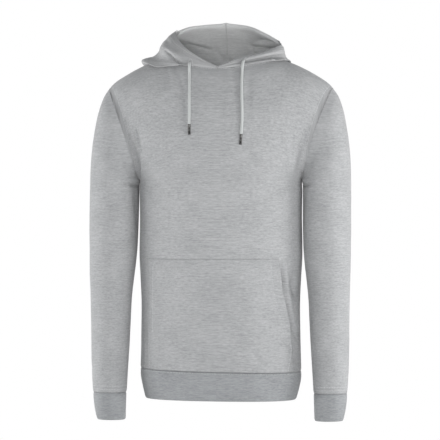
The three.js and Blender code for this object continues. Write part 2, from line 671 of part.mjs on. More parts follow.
// A free drawcord.
function cordTube(points) {
  const route = cordRoute(points);
  const section = new THREE.Shape();
  for (let side = 0; side <= CORD_SIDES; side += 1) {
    const turn = side / CORD_SIDES * 2 * Math.PI;
    const x = CORD_DIAMETER / 2 * Math.cos(turn);
    const y = CORD_DIAMETER / 2 * Math.sin(turn);
    if (side === 0) {
      section.moveTo(x, y);
    } else {
      section.lineTo(x, y);
    }
  }
  const steps = Math.round(route.getLength() / (2 * CORD_DIAMETER));
  return new THREE.ExtrudeGeometry(section, { steps, extrudePath: route });
}

// The metal tip carries on where the cord ends.
function agletMesh(name, points) {
  const route = cordRoute(points);
  const way = route.getTangentAt(1);
  const radius = AGLET_DIAMETER / 2;
  const geometry = new THREE.CylinderGeometry(radius, radius, AGLET_LENGTH, AGLET_SIDES);
  const mesh = clothMesh(name, geometry, METAL);
  mesh.quaternion.setFromUnitVectors(new THREE.Vector3(0, 1, 0), way);
  mesh.position.copy(route.getPointAt(1)).addScaledVector(way, SEAM_GAP + AGLET_LENGTH / 2);
  return mesh;
}

function clothMesh(name, geometry, finish) {
  const mesh = new THREE.Mesh(geometry, new THREE.MeshStandardMaterial(finish));
  mesh.name = name;
  return mesh;
}

const hoodie = new THREE.Group();
hoodie.add(clothMesh('front', bodyPanel(FRONT_PANEL, FRONT_FOLDS, FRONT_COLUMNS), CLOTH));
hoodie.add(clothMesh('back', bodyPanel(BACK_PANEL, BACK_FOLDS, BACK_COLUMNS), CLOTH));
hoodie.add(clothMesh('hem_band', tubeWall(hemGrid(), 1, [UP, DOWN], [UP, DOWN]), BAND_CLOTH));
hoodie.add(clothMesh('pocket', pocketPanel(), CLOTH));
for (const [label, side] of [['left', -1], ['right', 1]]) {
  const awayFromBody = [armholeOut(side).negate()];
  const sleeve = tubeWall(sleeveGrid(side), -side, awayFromBody, [UP, DOWN]);
  hoodie.add(clothMesh(`sleeve_${label}`, sleeve, CLOTH));
  const cuff = tubeWall(cuffGrid(side), -side, [UP, DOWN], [UP, DOWN]);
  hoodie.add(clothMesh(`cuff_${label}`, cuff, BAND_CLOTH));
}
hoodie.add(clothMesh('hood_left', hoodPanel(HOOD_LEFT, -1), HOOD_CLOTH));
hoodie.add(clothMesh('hood_right', hoodPanel(HOOD_RIGHT, 1), HOOD_CLOTH));
hoodie.add(clothMesh('cord_left', cordTube(CORD_LEFT), CORD_CLOTH));
hoodie.add(clothMesh('cord_right', cordTube(CORD_RIGHT), CORD_CLOTH));
hoodie.add(agletMesh('aglet_left', CORD_LEFT));
hoodie.add(agletMesh('aglet_right', CORD_RIGHT));

export default hoodie;
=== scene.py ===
"""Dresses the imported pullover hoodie: thin cloth shells with creases, seams and stitches, cords and tips.

Sizes are in millimetres in the garment's own frame (+X the viewer's right, -Y the front, +Z up), with the
origin in the middle of the neck base, and are turned into metres where a mesh is finished.
"""
import logging
import math
from dataclasses import dataclass, field
from enum import Enum
from typing import Callable, Sequence

import bmesh
import bpy
from mathutils import Matrix, Vector, noise


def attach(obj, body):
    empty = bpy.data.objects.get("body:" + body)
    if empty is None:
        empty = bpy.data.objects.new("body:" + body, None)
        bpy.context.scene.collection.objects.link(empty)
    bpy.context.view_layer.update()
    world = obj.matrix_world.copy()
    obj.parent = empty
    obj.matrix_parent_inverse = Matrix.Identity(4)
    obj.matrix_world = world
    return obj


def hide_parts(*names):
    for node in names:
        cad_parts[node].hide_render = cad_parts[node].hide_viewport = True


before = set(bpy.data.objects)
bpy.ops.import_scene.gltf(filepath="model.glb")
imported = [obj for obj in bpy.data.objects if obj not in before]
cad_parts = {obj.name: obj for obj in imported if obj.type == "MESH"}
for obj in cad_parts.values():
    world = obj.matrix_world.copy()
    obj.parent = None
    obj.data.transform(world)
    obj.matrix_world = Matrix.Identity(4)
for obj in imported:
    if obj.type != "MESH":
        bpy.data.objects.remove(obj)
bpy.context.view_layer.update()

MM = 0.001
BODY = "root"
LOG = logging.getLogger("hoodie")

WALL = 2.0
SEAM_GAP = 0.3
HALF_GAP = SEAM_GAP / 2
HEM_SEAM_Z = -606.0
UNDERARM = (166.0, -224.0)
SHOULDER_TIP = (228.0, -37.0)
BODY_ROUNDNESS = 2.4
NECK_HALF_WIDTH = 125.0
NECK_SIDE_Z = 20.0
NECK_RISE_POWER = 1.5
NECK_SHARE = 0.5
HOOD_LEAN = 0.45
CUFF_SEAM_Z = -656.0
CUFF_BOTTOM_Z = -712.0
HEM_BOTTOM_Z = -668.0
CORD_DIAMETER = 6.0
CORD_KNOTS = 24
EYELET_RADIUS = 5.0
RIM_THICKNESS = 1.6

# Depth and height of the neckline's middle, in front and at the back, and the front armhole's bow.
FRONT_NECK = (75, 0)
BACK_NECK = (70, 4)
FRONT_BOW = 5

# Width of a seam's dip, and the stitches on it.
SEAM_WIDTH = 2.2
STITCH_STEP = 3.4
STITCH_SIZE = (STITCH_STEP * 0.37, 0.45, 0.32)
STITCH_LIFT = 0.1

# How many widths a crease reaches to either side, and the share of its depth that it keeps at its ends.
CREASE_REACH = 3
CREASE_END = 0.45

# Shares up the hood between which its inside is painted lighter, as painted light, and above which its rim's
# edge lies.
PAINTED_LIGHT_START = 0.36
PAINTED_LIGHT_END = 0.83
RIM_EDGE = 0.985

# Where the body starts to sag to the right, over what length, how steeply at the hem seam and below it, and
# the line that it sags from.
SAG_TOP_Z = -430.0
SAG_LENGTH = 170.0
SAG_SLOPES = (0.02, 0.008)
HEM_HALF_WIDTH = 164.0

# Slow and quick unevenness of hanging cloth: sizes across and up, and the quick one's share.
SLOW_WIDTH = 70.0
SLOW_HEIGHT = 150.0
QUICK_WIDTH = 26.0
QUICK_HEIGHT = 44.0
QUICK_SHARE = 0.35

# Repeats of the knit and the braid, in metres.
KNIT_WALE = 0.0014
KNIT_COURSE = 0.0018
BRAID_PITCH = 0.0042

# Places along the smooth tables: rows of a place and its values.
BODY_WIDTH = [(HEM_SEAM_Z, HEM_HALF_WIDTH), (-547, 162.5), (-473, 161.5), (-424, 163.5), (-375, 166),
              (-300, 165), (-224, 166)]
FRONT_DEPTH = [(-606, 110), (-520, 115), (-424, 118), (-300, 122), (-224, 124), (-150, 121), (-100, 113),
               (-50, 98), (-20, 84), (0, 75)]
BACK_DEPTH = [(-606, 112), (-520, 106), (-424, 103), (-300, 106), (-224, 111), (-150, 113), (-100, 109),
              (-50, 97), (-20, 85), (4, 70)]
SHOULDER_LINE = [(125, 20), (147, 11), (177, -4), (206, -20), (220, -29), (228, -37)]

# Each sleeve section: outer x and z, inner x and z, middle y and half depth.
SLEEVE_SECTIONS = [
    (228, -37, 166, -224, 0, 62),
    (241, -57, 167.4, -238, -2, 64),
    (250.5, -85, 167.6, -254, -4, 66),
    (257.5, -120, 167.7, -272, -6, 67),
    (262.5, -155, 167.9, -291, -9, 66),
    (265.5, -195, 168.2, -313, -12, 64),
    (266.5, -240, 168.8, -338, -15, 61),
    (267, -290, 170, -366, -18, 58),
    (267, -345, 173, -398, -21, 55),
    (266.5, -398, 177, -431, -23, 52),
    (265, -449, 180.5, -466, -25, 50),
    (264, -500, 182.5, -508, -26, 47.5),
    (263, -555, 185, -558, -26, 44.5),
    (262, -605, 188, -606, -26, 41.5),
    (259.5, CUFF_SEAM_Z, 191, CUFF_SEAM_Z, -26, 38),
]
# Each cuff section: z, outer x, inner x, middle y and half depth.
CUFF_SECTIONS = [
    (CUFF_SEAM_Z - SEAM_GAP, 259, 191.5, -26, 37.5),
    (-668, 258.5, 191.8, -26, 36.5),
    (-690, 256, 192.5, -26, 34.5),
    (CUFF_BOTTOM_Z, 251, 193, -26, 32),
]
# Each hem section: z, half width, front and back depth.
HEM_SECTIONS = [
    (HEM_SEAM_Z - SEAM_GAP, 163.5, 109.5, 111.5),
    (-622, 163.5, 110, 112),
    (-645, 159.5, 107, 109),
    (HEM_BOTTOM_Z, 154, 102, 104),
]
# Pocket edges on either side by height.
POCKET_ROWS = [(-606, 140, 143), (-560, 142, 149), (-538, 142, 146), (-504, 141.5, 139.5), (-471, 141, 133),
               (-449, 140.5, 128.5), (-406, 140, 124.5), (-382, 140, 124)]

# Hood sections: angle round the neck, then out and up of the low fold, its tip, its crease, the wall,
# the top, the roll and the rim.
HOOD_LEFT = [
    (0, 1, 0.8, 2, 1.4, 2, 2, 2, 2.6, 2, 3.2, 2, 3.8, 2, 4.4),
    (15, 2, 3, 3, 6, 3, 9, 3, 12, 2, 14.5, 2, 16.5, 1, 18.5),
    (30, 4, 1, 7, 2, 5, 10, 5, 19, 3, 25, 2, 29, 0, 33),
    (45, 8, -3, 15, -6, 9, 7, 8, 24, 2, 36, -4, 43, -10, 49),
    (60, 13, -2.5, 25, -11, 9, 8, 9, 27, -3, 46, -14, 55, -24, 62),
    (90, 28, -12, 35, 1, 8, 10, -6, 29, -18, 43, -29, 53, -38, 61),
    (115, 15, 0, 38, -12, 26, 9, 5, 33, -20, 51, -26, 57, -25, 60),
    (140, 14, -4, 44, -48, 54, -4, 27, 38, -21, 72, -14, 75, -1, 66),
    (160, 15, -6, 50, -76, 72, -26, 43, 40, -6, 82, 3, 85, 20, 64),
    (180, 16, -7, 52, -84, 78, -34, 48, 42, -2, 89, 8, 92, 26, 66),
]
HOOD_RIGHT = [
    (0, 1, 0.8, 2, 1.4, 2, 2, 2, 2.6, 2, 3.2, 2, 3.8, 2, 4.4),
    (15, 2, 3, 3, 5, 1, 8, 3, 10, 3, 12.5, 2, 14.5, 0, 16),
    (30, 3, 3, 6, 5, 1, 9, 4, 13.5, 4, 16.5, 2, 18, -1, 19.5),
    (45, 5, 2, 9, 5, 1, 9, 4, 14, 4, 18, 1, 20.5, -2, 22),
    (60, 7, 1, 11, 3, 1, 8.5, 4, 15, 3, 20.5, 0, 24, -4, 26.5),
    (90, 8, -1, 12, -1, 3, 7, 2, 16, 1, 23, -2, 28, -5, 32),
    (115, 13, 0, 27, -9, 18, 7, 8, 25, -6, 38, -5, 41, -1, 40),
    (140, 14, -4, 44, -48, 54, -4, 29, 32, -7, 61, -1, 64, 11, 52),
    (160, 15, -6, 50, -76, 72, -26, 43, 38, 0, 80, 9, 83, 24, 62),
    (180, 16, -7, 52, -84, 78, -34, 48, 42, -2, 89, 8, 92, 26, 66),
]
HOOD_KNOTS = 7

# Points of the drawcords, from just inside their stitched holes to their tips.
CORD_LEFT = [
    (-56, -74.9, 11), (-56, -79.3, 10.1), (-56.1, -82.9, 7.5), (-56, -85.4, 1), (-55.6, -86.6, -8),
    (-55, -92.5, -24), (-54.4, -100.6, -45), (-53.8, -107, -66), (-53.4, -112, -88), (-53.2, -115.9, -112),
]
CORD_RIGHT = [
    (52.5, -69.8, 16), (52.3, -74.4, 15.1), (51.8, -78.4, 12.3), (51, -82, 5), (50.4, -84.4, -6),
    (50.2, -92.4, -24), (51, -101, -45), (52, -107.6, -66), (53, -112, -88), (52.8, -115.4, -110),
    (51.4, -118.8, -132),
]

# Radius and place along the metal tip.
TIP_PROFILE = [
    (0, 0), (2.55, 0), (2.8, 0.5), (2.8, 1.4), (2.6, 1.9), (2.6, 6.6), (2.35, 7.4), (2.6, 8.2),
    (2.6, 12.8), (2.35, 13.6), (2.6, 14.4), (2.6, 19.2), (2.8, 19.7), (2.8, 20.5), (2.5, 21), (1.9, 21),
    (1.8, 20.2), (0, 20),
]

Spot = tuple[float, float]
Point = tuple[float, float, float]
Rows = Sequence[Sequence[float]]


class Facing(Enum):
    """Which way a body panel faces along Y."""

    FRONT = -1
    BACK = 1


class Hand(Enum):
    """Which side of the garment a piece is on, as the viewer sees it."""

    LEFT = -1
    RIGHT = 1


def mix(low: float, high: float, share: float) -> float:
    """Value between two others at a share of the way."""
    return low + (high - low) * share


def clamp(value: float, low: float = 0.0, high: float = 1.0) -> float:
    """Value kept between two limits."""
    return max(low, min(high, value))


def ease(share: float) -> float:
    """Smooth step from 0 to 1."""
    share = clamp(share)
    return share * share * (3 - 2 * share)


def falloff(distance: float, width: float) -> float:
    """Share that is 1 on a line and falls softly to 0 away from it."""
    return math.exp(-((distance / width) ** 2))


def smooth_value(rows: Rows, place: float, column: int = 1) -> float:
    """Read a smooth table.

    Args:
        rows: Table rows, each with its place first, in rising or falling order.
        place: Where to read it.
        column: Which value of the rows to read.

    Returns:
        The value there, on a smooth curve through the rows.
    """
    last = len(rows) - 1
    rising = rows[last][0] > rows[0][0]
    row = 0
    while row < last - 1 and (place > rows[row + 1][0] if rising else place < rows[row + 1][0]):
        row += 1
    before, low, high, after = rows[max(row - 1, 0)], rows[row], rows[row + 1], rows[min(row + 2, last)]
    step = high[0] - low[0]
    t = clamp((place - low[0]) / step)
    slope_low = (high[column] - before[column]) / (high[0] - before[0]) * step
    slope_high = (after[column] - low[column]) / (after[0] - low[0]) * step
    t2 = t * t
    t3 = t2 * t
    return ((2 * t3 - 3 * t2 + 1) * low[column] + (t3 - 2 * t2 + t) * slope_low
            + (3 * t2 - 2 * t3) * high[column] + (t3 - t2) * slope_high)


@dataclass(frozen=True)
class Crease:
    """A soft trough, or a ridge where its depth is negative, along a line on a piece's own two axes.

    Attributes:
        x1: Start on the first axis.
        z1: Start on the second axis.
        x2: End on the first axis.
        z2: End on the second axis.
        width: How far it spreads to either side.
        depth: How far the cloth goes in at its middle.
    """

    x1: float
    z1: float
    x2: float
    z2: float
    width: float
    depth: float

    def depth_at(self, x: float, z: float) -> float:
        """Depth of the trough at a place, tapering towards both ends.

        Args:
            x: Place on the piece's first axis.
            z: Place on the piece's second axis.

        Returns:
            How far the cloth goes in there.
        """
        along_x = self.x2 - self.x1
        along_z = self.z2 - self.z1
        share = ((x - self.x1) * along_x + (z - self.z1) * along_z) / (along_x ** 2 + along_z ** 2)
        near = clamp(share)
        away = math.hypot(x - self.x1 - near * along_x, z - self.z1 - near * along_z)
        if away > CREASE_REACH * self.width:
            return 0.0
        taper = CREASE_END + (1 - CREASE_END) * math.sin(math.pi * near)
        return self.depth * taper * falloff(away, self.width)


def crease_table(*rows: Sequence[float]) -> tuple[Crease, ...]:
    """Creases from rows of start, end, width and depth."""
    return tuple(Crease(*row) for row in rows)


def creases_at(creases: Sequence[Crease], x: float, z: float) -> float:
    """Sum of the depths of several creases at a place."""
    return sum(crease.depth_at(x, z) for crease in creases)


def sag(place: Vector) -> Vector:
    """Let the right side of the hem hang a little lower than the left, as it does in the photo.

    Args:
        place: A place on the body.

    Returns:
        Where it hangs.
    """
    slope = mix(*SAG_SLOPES, ease((HEM_SEAM_Z - place.z) / (HEM_SEAM_Z - HEM_BOTTOM_Z)))
    low = ease((SAG_TOP_Z - place.z) / SAG_LENGTH) * slope
    return Vector((place.x, place.y, place.z - low * (place.x + HEM_HALF_WIDTH)))


def drape(x: float, y: float, z: float, amount: float) -> float:
    """Slow unevenness of hanging cloth, longer up and down than across.

    Args:
        x: Place from side to side.
        y: Place from front to back.
        z: Height.
        amount: Size of the unevenness.

    Returns:
        How far the cloth comes out there.
    """
    slow = noise.noise(Vector((x / SLOW_WIDTH, y / SLOW_WIDTH, z / SLOW_HEIGHT)))
    quick = noise.noise(Vector((x / QUICK_WIDTH + 9, y / QUICK_WIDTH, z / QUICK_HEIGHT)))
    return amount * (slow + QUICK_SHARE * quick)


def shade(colour: Point, factor: float) -> tuple[float, float, float, float]:
    """A colour made lighter or darker by a factor, with full alpha."""
    return (*[part * factor for part in colour], 1)


class NodeBoard:
    """A small helper that adds nodes to a shader tree and joins them."""

    def __init__(self, tree: bpy.types.NodeTree) -> None:
        """Keep the tree that the nodes go into."""
        self.tree = tree

    def join(self, node: bpy.types.Node, inputs: dict[str | int, object]) -> bpy.types.Node:
        """Give a node its inputs.

        Args:
            node: The node.
            inputs: A socket to join or a value to set for each input.

        Returns:
            The same node.
        """
        for key, value in inputs.items():
            if isinstance(value, bpy.types.NodeSocket):
                self.tree.links.new(value, node.inputs[key])
            else:
                node.inputs[key].default_value = value
        return node

    def add(self, kind: str, inputs: dict[str | int, object]) -> bpy.types.Node:
        """Add a node of a kind, with its inputs."""
        return self.join(self.tree.nodes.new(kind), inputs)

    def place(self) -> bpy.types.NodeSocket:
        """Coordinates on the piece itself."""
        return self.tree.nodes.new("ShaderNodeTexCoord").outputs["Object"]

    def math(self, operation: str, first: object, second: object = 0.0) -> bpy.types.NodeSocket:
        """Add a math node.

        Args:
            operation: The node's operation.
            first: A socket or a number.
            second: A socket or a number.

        Returns:
            The node's output.
        """
        node = self.tree.nodes.new("ShaderNodeMath")
        node.operation = operation
        return self.join(node, {0: first, 1: second}).outputs[0]

    def noise(self, vector: bpy.types.NodeSocket, scale: Point, detail: float) -> bpy.types.NodeSocket:
        """Add a noise texture on a stretched vector.

        Args:
            vector: The place to read it at.
            scale: Features per metre on each axis.
            detail: Octaves of finer noise.

        Returns:
            The noise value, about 0 to 1.
        """
        stretched = self.add("ShaderNodeMapping", {"Vector": vector, "Scale": scale}).outputs["Vector"]
        texture = self.add("ShaderNodeTexNoise", {"Vector": stretched, "Scale": 1.0, "Detail": detail})
        return texture.outputs["Fac"]

    def spread(self, value: bpy.types.NodeSocket, low: float, high: float) -> bpy.types.NodeSocket:
        """Spread the values between two limits over 0 to 1."""
        limits = {"Value": value, "From Min": low, "From Max": high}
        return self.add("ShaderNodeMapRange", limits).outputs["Result"]

    def blend(self, share: bpy.types.NodeSocket, first: object, second: object) -> bpy.types.NodeSocket:
        """Blend two colours.

        Args:
            share: Share of the second colour.
            first: A socket or a colour.
            second: A socket or a colour.

        Returns:
            The blended colour.
        """
        node = self.tree.nodes.new("ShaderNodeMix")
        node.data_type = "RGBA"
        return self.join(node, {"Factor": share, "A": first, "B": second}).outputs["Result"]

    def bump(self, height: bpy.types.NodeSocket, strength: float, depth: float) -> bpy.types.NodeSocket:
        """Turn a pattern into a rough surface.

        Args:
            height: The pattern's height.
            strength: How strong it is.
            depth: Depth of the pattern in metres.

        Returns:
            The surface's normal.
        """
        inputs = {"Height": height, "Strength": strength, "Distance": depth}
        return self.add("ShaderNodeBump", inputs).outputs["Normal"]


def heather_group() -> bpy.types.NodeTree:
    """Build the heather jersey's node group, once.

    Returns:
        The group: slub streaks along the courses, flecks, mottling, and the knit's fine columns as height.
    """
    name = "heather_jersey"
    if name in bpy.data.node_groups:
        return bpy.data.node_groups[name]
    group = bpy.data.node_groups.new(name, "ShaderNodeTree")
    for label, side, kind in (("Cut", "INPUT", "Vector"), ("Light", "INPUT", "Color"),
                              ("Dark", "INPUT", "Color"), ("Streak", "INPUT", "Float"),
                              ("Colour", "OUTPUT", "Color"), ("Height", "OUTPUT", "Float")):
        group.interface.new_socket(label, in_out=side, socket_type=f"NodeSocket{kind}")
    board = NodeBoard(group)
    ends = group.nodes.new("NodeGroupInput").outputs
    cut = ends["Cut"]
    long_streaks = board.noise(cut, (34, 330, 1), 2)
    short_streaks = board.noise(cut, (120, 560, 1), 2)
    flecks = board.noise(cut, (360, 900, 1), 1)
    mottle = board.noise(cut, (14, 22, 1), 2)
    summed = board.math("MULTIPLY", long_streaks, 0.8)
    for pattern, weight in ((short_streaks, 1.2), (flecks, 0.55), (mottle, 0.45)):
        summed = board.math("ADD", summed, board.math("MULTIPLY", pattern, weight))
    centred = board.math("SUBTRACT", summed, 1.5)
    strong = board.math("MULTIPLY", board.math("MULTIPLY", centred, 1.5), ends["Streak"])
    colour = board.blend(board.spread(strong, -0.5, 0.5), ends["Dark"], ends["Light"])
    parts = board.add("ShaderNodeSeparateXYZ", {"Vector": cut}).outputs
    waves = [board.math("SINE", board.math("MULTIPLY", parts[axis], math.pi / size))
             for axis, size in (("X", KNIT_WALE), ("Y", KNIT_COURSE))]
    columns, rows = (board.math("ABSOLUTE", wave) for wave in waves)
    knit = board.math("MULTIPLY", columns, rows)
    height = board.math("ADD", board.math("MULTIPLY", knit, 0.6), board.math("MULTIPLY", short_streaks, 0.8))
    board.add("NodeGroupOutput", {"Colour": colour, "Height": height})
    return group


@dataclass(frozen=True)
class Finish:
    """What a piece's surface is made of.

    Attributes:
        name: Material name.
        slot: The record's material slot; not used.
    """

    name: str
    slot: str

    def material(self) -> bpy.types.Material:
        """Build the material, once.

        Returns:
            The Blender material.
        """
        if self.name in bpy.data.materials:
            return bpy.data.materials[self.name]
        material = bpy.data.materials.new(self.name)
        material.use_nodes = True
        self.dress(NodeBoard(material.node_tree), material.node_tree.nodes["Principled BSDF"])
        return material

    def dress(self, board: NodeBoard, shader: bpy.types.Node) -> None:
        """Give the shader its inputs, in each finish's own way."""
        raise NotImplementedError


@dataclass(frozen=True)
class Cloth(Finish):
    """A heather jersey finish.

    Attributes:
        light: Colour of the light yarn.
        dark: Colour of the dark yarn.
        streak: How strong the slub streaks are.
        rib: Height of the knit's bump.
        sheen: Weight of the soft nap at grazing angles.
    """

    light: Point
    dark: Point
    streak: float = 1.0
    rib: float = 0.35
    sheen: float = 0.25

    def dress(self, board: NodeBoard, shader: bpy.types.Node) -> None:
        """Dress the shader as jersey that follows the piece's cut.

        Args:
            board: The material's nodes.
            shader: Its shader.
        """
        coordinates = board.add("ShaderNodeUVMap", {})
        coordinates.uv_map = "Cut"
        knit = board.add("ShaderNodeGroup", {})
        knit.node_tree = heather_group()
        board.join(knit, {"Cut": coordinates.outputs["UV"], "Light": shade(self.light, 1),
                          "Dark": shade(self.dark, 1), "Streak": self.streak})
        board.join(shader, {"Base Color": knit.outputs["Colour"], "Roughness": 0.92,
                            "Specular IOR Level": 0.2, "Sheen Weight": self.sheen, "Sheen Roughness": 0.5,
                            "Normal": board.bump(knit.outputs["Height"], self.rib, 0.0006)})


@dataclass(frozen=True)
class Braid(Finish):
    """A pale round braid.

    Attributes:
        colour: Yarn colour.
    """

    colour: Point

    def dress(self, board: NodeBoard, shader: bpy.types.Node) -> None:
        """Dress the shader as yarns that cross.

        Args:
            board: The material's nodes.
            shader: Its shader.
        """
        parts = board.add("ShaderNodeSeparateXYZ", {"Vector": board.place()}).outputs
        pitch = math.tau / BRAID_PITCH
        across = board.math("MULTIPLY", parts["X"], pitch * 0.9)
        along = board.math("MULTIPLY", parts["Z"], pitch)
        first = board.math("SINE", board.math("ADD", along, across))
        second = board.math("SINE", board.math("SUBTRACT", along, across))
        share = board.spread(board.math("MULTIPLY", first, second), -1.0, 1.0)
        colour = board.blend(share, shade(self.colour, 0.8), shade(self.colour, 1))
        board.join(shader, {"Base Color": colour, "Roughness": 0.85, "Specular IOR Level": 0.25,
                            "Sheen Weight": 0.2, "Normal": board.bump(share, 0.6, 0.0005)})


@dataclass(frozen=True)
class Metal(Finish):
    """Dark crimped metal with fine scuffs.

    Attributes:
        colour: Metal colour.
    """

    colour: Point

    def dress(self, board: NodeBoard, shader: bpy.types.Node) -> None:
        """Dress the shader as scuffed metal.

        Args:
            board: The material's nodes.
            shader: Its shader.
        """
        scuffs = board.noise(board.place(), (900, 900, 260), 3)
        rough = board.math("ADD", board.math("MULTIPLY", scuffs, 0.3), 0.2)
        colour = board.blend(scuffs, shade(self.colour, 0.6), shade(self.colour, 1.5))
        board.join(shader, {"Metallic": 1.0, "Roughness": rough, "Base Color": colour})


@dataclass(frozen=True)
class Thread(Finish):
    """Sewing thread with a fine twist.

    Attributes:
        colour: Thread colour.
    """

    colour: Point

    def dress(self, board: NodeBoard, shader: bpy.types.Node) -> None:
        """Dress the shader as twisted thread.

        Args:
            board: The material's nodes.
            shader: Its shader.
        """
        twist = board.noise(board.place(), (2500, 2500, 2500), 1)
        board.join(shader, {"Base Color": shade(self.colour, 1), "Roughness": 0.6,
                            "Normal": board.bump(twist, 0.4, 0.0002)})


JERSEY = Cloth("heather jersey", "body_cloth", (0.485, 0.489, 0.494), (0.318, 0.322, 0.328))
HOOD_JERSEY = Cloth("hood jersey", "hood_cloth", (0.51, 0.513, 0.516), (0.34, 0.343, 0.346))
# Much lighter copy of the hood's jersey for its inside: painted light, standing in for light that reaches
# into the hood.
HOOD_INSIDE_PAINTED_LIGHT = Cloth("hood lining", "hood_cloth", (0.88, 0.884, 0.88), (0.70, 0.704, 0.70), streak=0.9)
BAND_JERSEY = Cloth("band jersey", "band_cloth", (0.395, 0.405, 0.415), (0.26, 0.268, 0.277), rib=0.5)
CORD_BRAID = Braid("drawcord braid", "drawcord", (0.60, 0.62, 0.61))
TIP_METAL = Metal("tip metal", "aglet_metal", (0.11, 0.108, 0.105))
# Real thread, painted lighter than the jersey as a painted highlight along the fold edges beside the seams.
THREAD_WITH_PAINTED_HIGHLIGHT = Thread("thread", "body_cloth", (0.66, 0.665, 0.67))


def new_piece(mesh: bmesh.types.BMesh, name: str, material: bpy.types.Material) -> bpy.types.Object:
    """Turn a worked mesh into an object of the scene.

    Args:
        mesh: The mesh, which is freed.
        name: Name of the object.
        material: Its material.

    Returns:
        The object.
    """
    data = bpy.data.meshes.new(name)
    mesh.to_mesh(data)
    mesh.free()
    for face in data.polygons:
        face.use_smooth = True
    data.materials.append(material)
    piece = bpy.data.objects.new(name, data)
    bpy.context.scene.collection.objects.link(piece)
    return piece


def dressed_piece(mesh: bmesh.types.BMesh, name: str, finish: Finish) -> bpy.types.Object:
    """Turn a mesh worked in millimetres into a dressed piece that rides on the body.

    Args:
        mesh: The mesh, which is freed.
        name: Name of the piece.
        finish: What its surface is made of.

    Returns:
        The piece.
    """
    bmesh.ops.scale(mesh, vec=(MM, MM, MM), verts=mesh.verts)
    piece = new_piece(mesh, name, finish.material())
    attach(piece, BODY)
    return piece


def add_stitches(mesh: bmesh.types.BMesh, spots: Sequence[tuple[Vector, Vector]]) -> None:
    """Add a row of stitches to a mesh.

    Args:
        mesh: The mesh that takes them.
        spots: Place and outward way of each stitch.
    """
    knot = bmesh.new()
    bmesh.ops.create_uvsphere(knot, u_segments=6, v_segments=4, radius=1)
    stitch = bpy.data.meshes.new("stitch")
    knot.to_mesh(stitch)
    knot.free()
    for number, (place, way) in enumerate(spots[:-1]):
        along = (spots[number + 1][0] - place).normalized()
        side = way.cross(along).normalized()
        turn = Matrix((along, side, along.cross(side))).transposed().to_4x4()
        seat = Matrix.Translation(place + way * STITCH_LIFT) @ turn @ Matrix.Diagonal((*STITCH_SIZE, 1))
        stitch.transform(seat)
        mesh.from_mesh(stitch)
        stitch.transform(seat.inverted())
    bpy.data.meshes.remove(stitch)


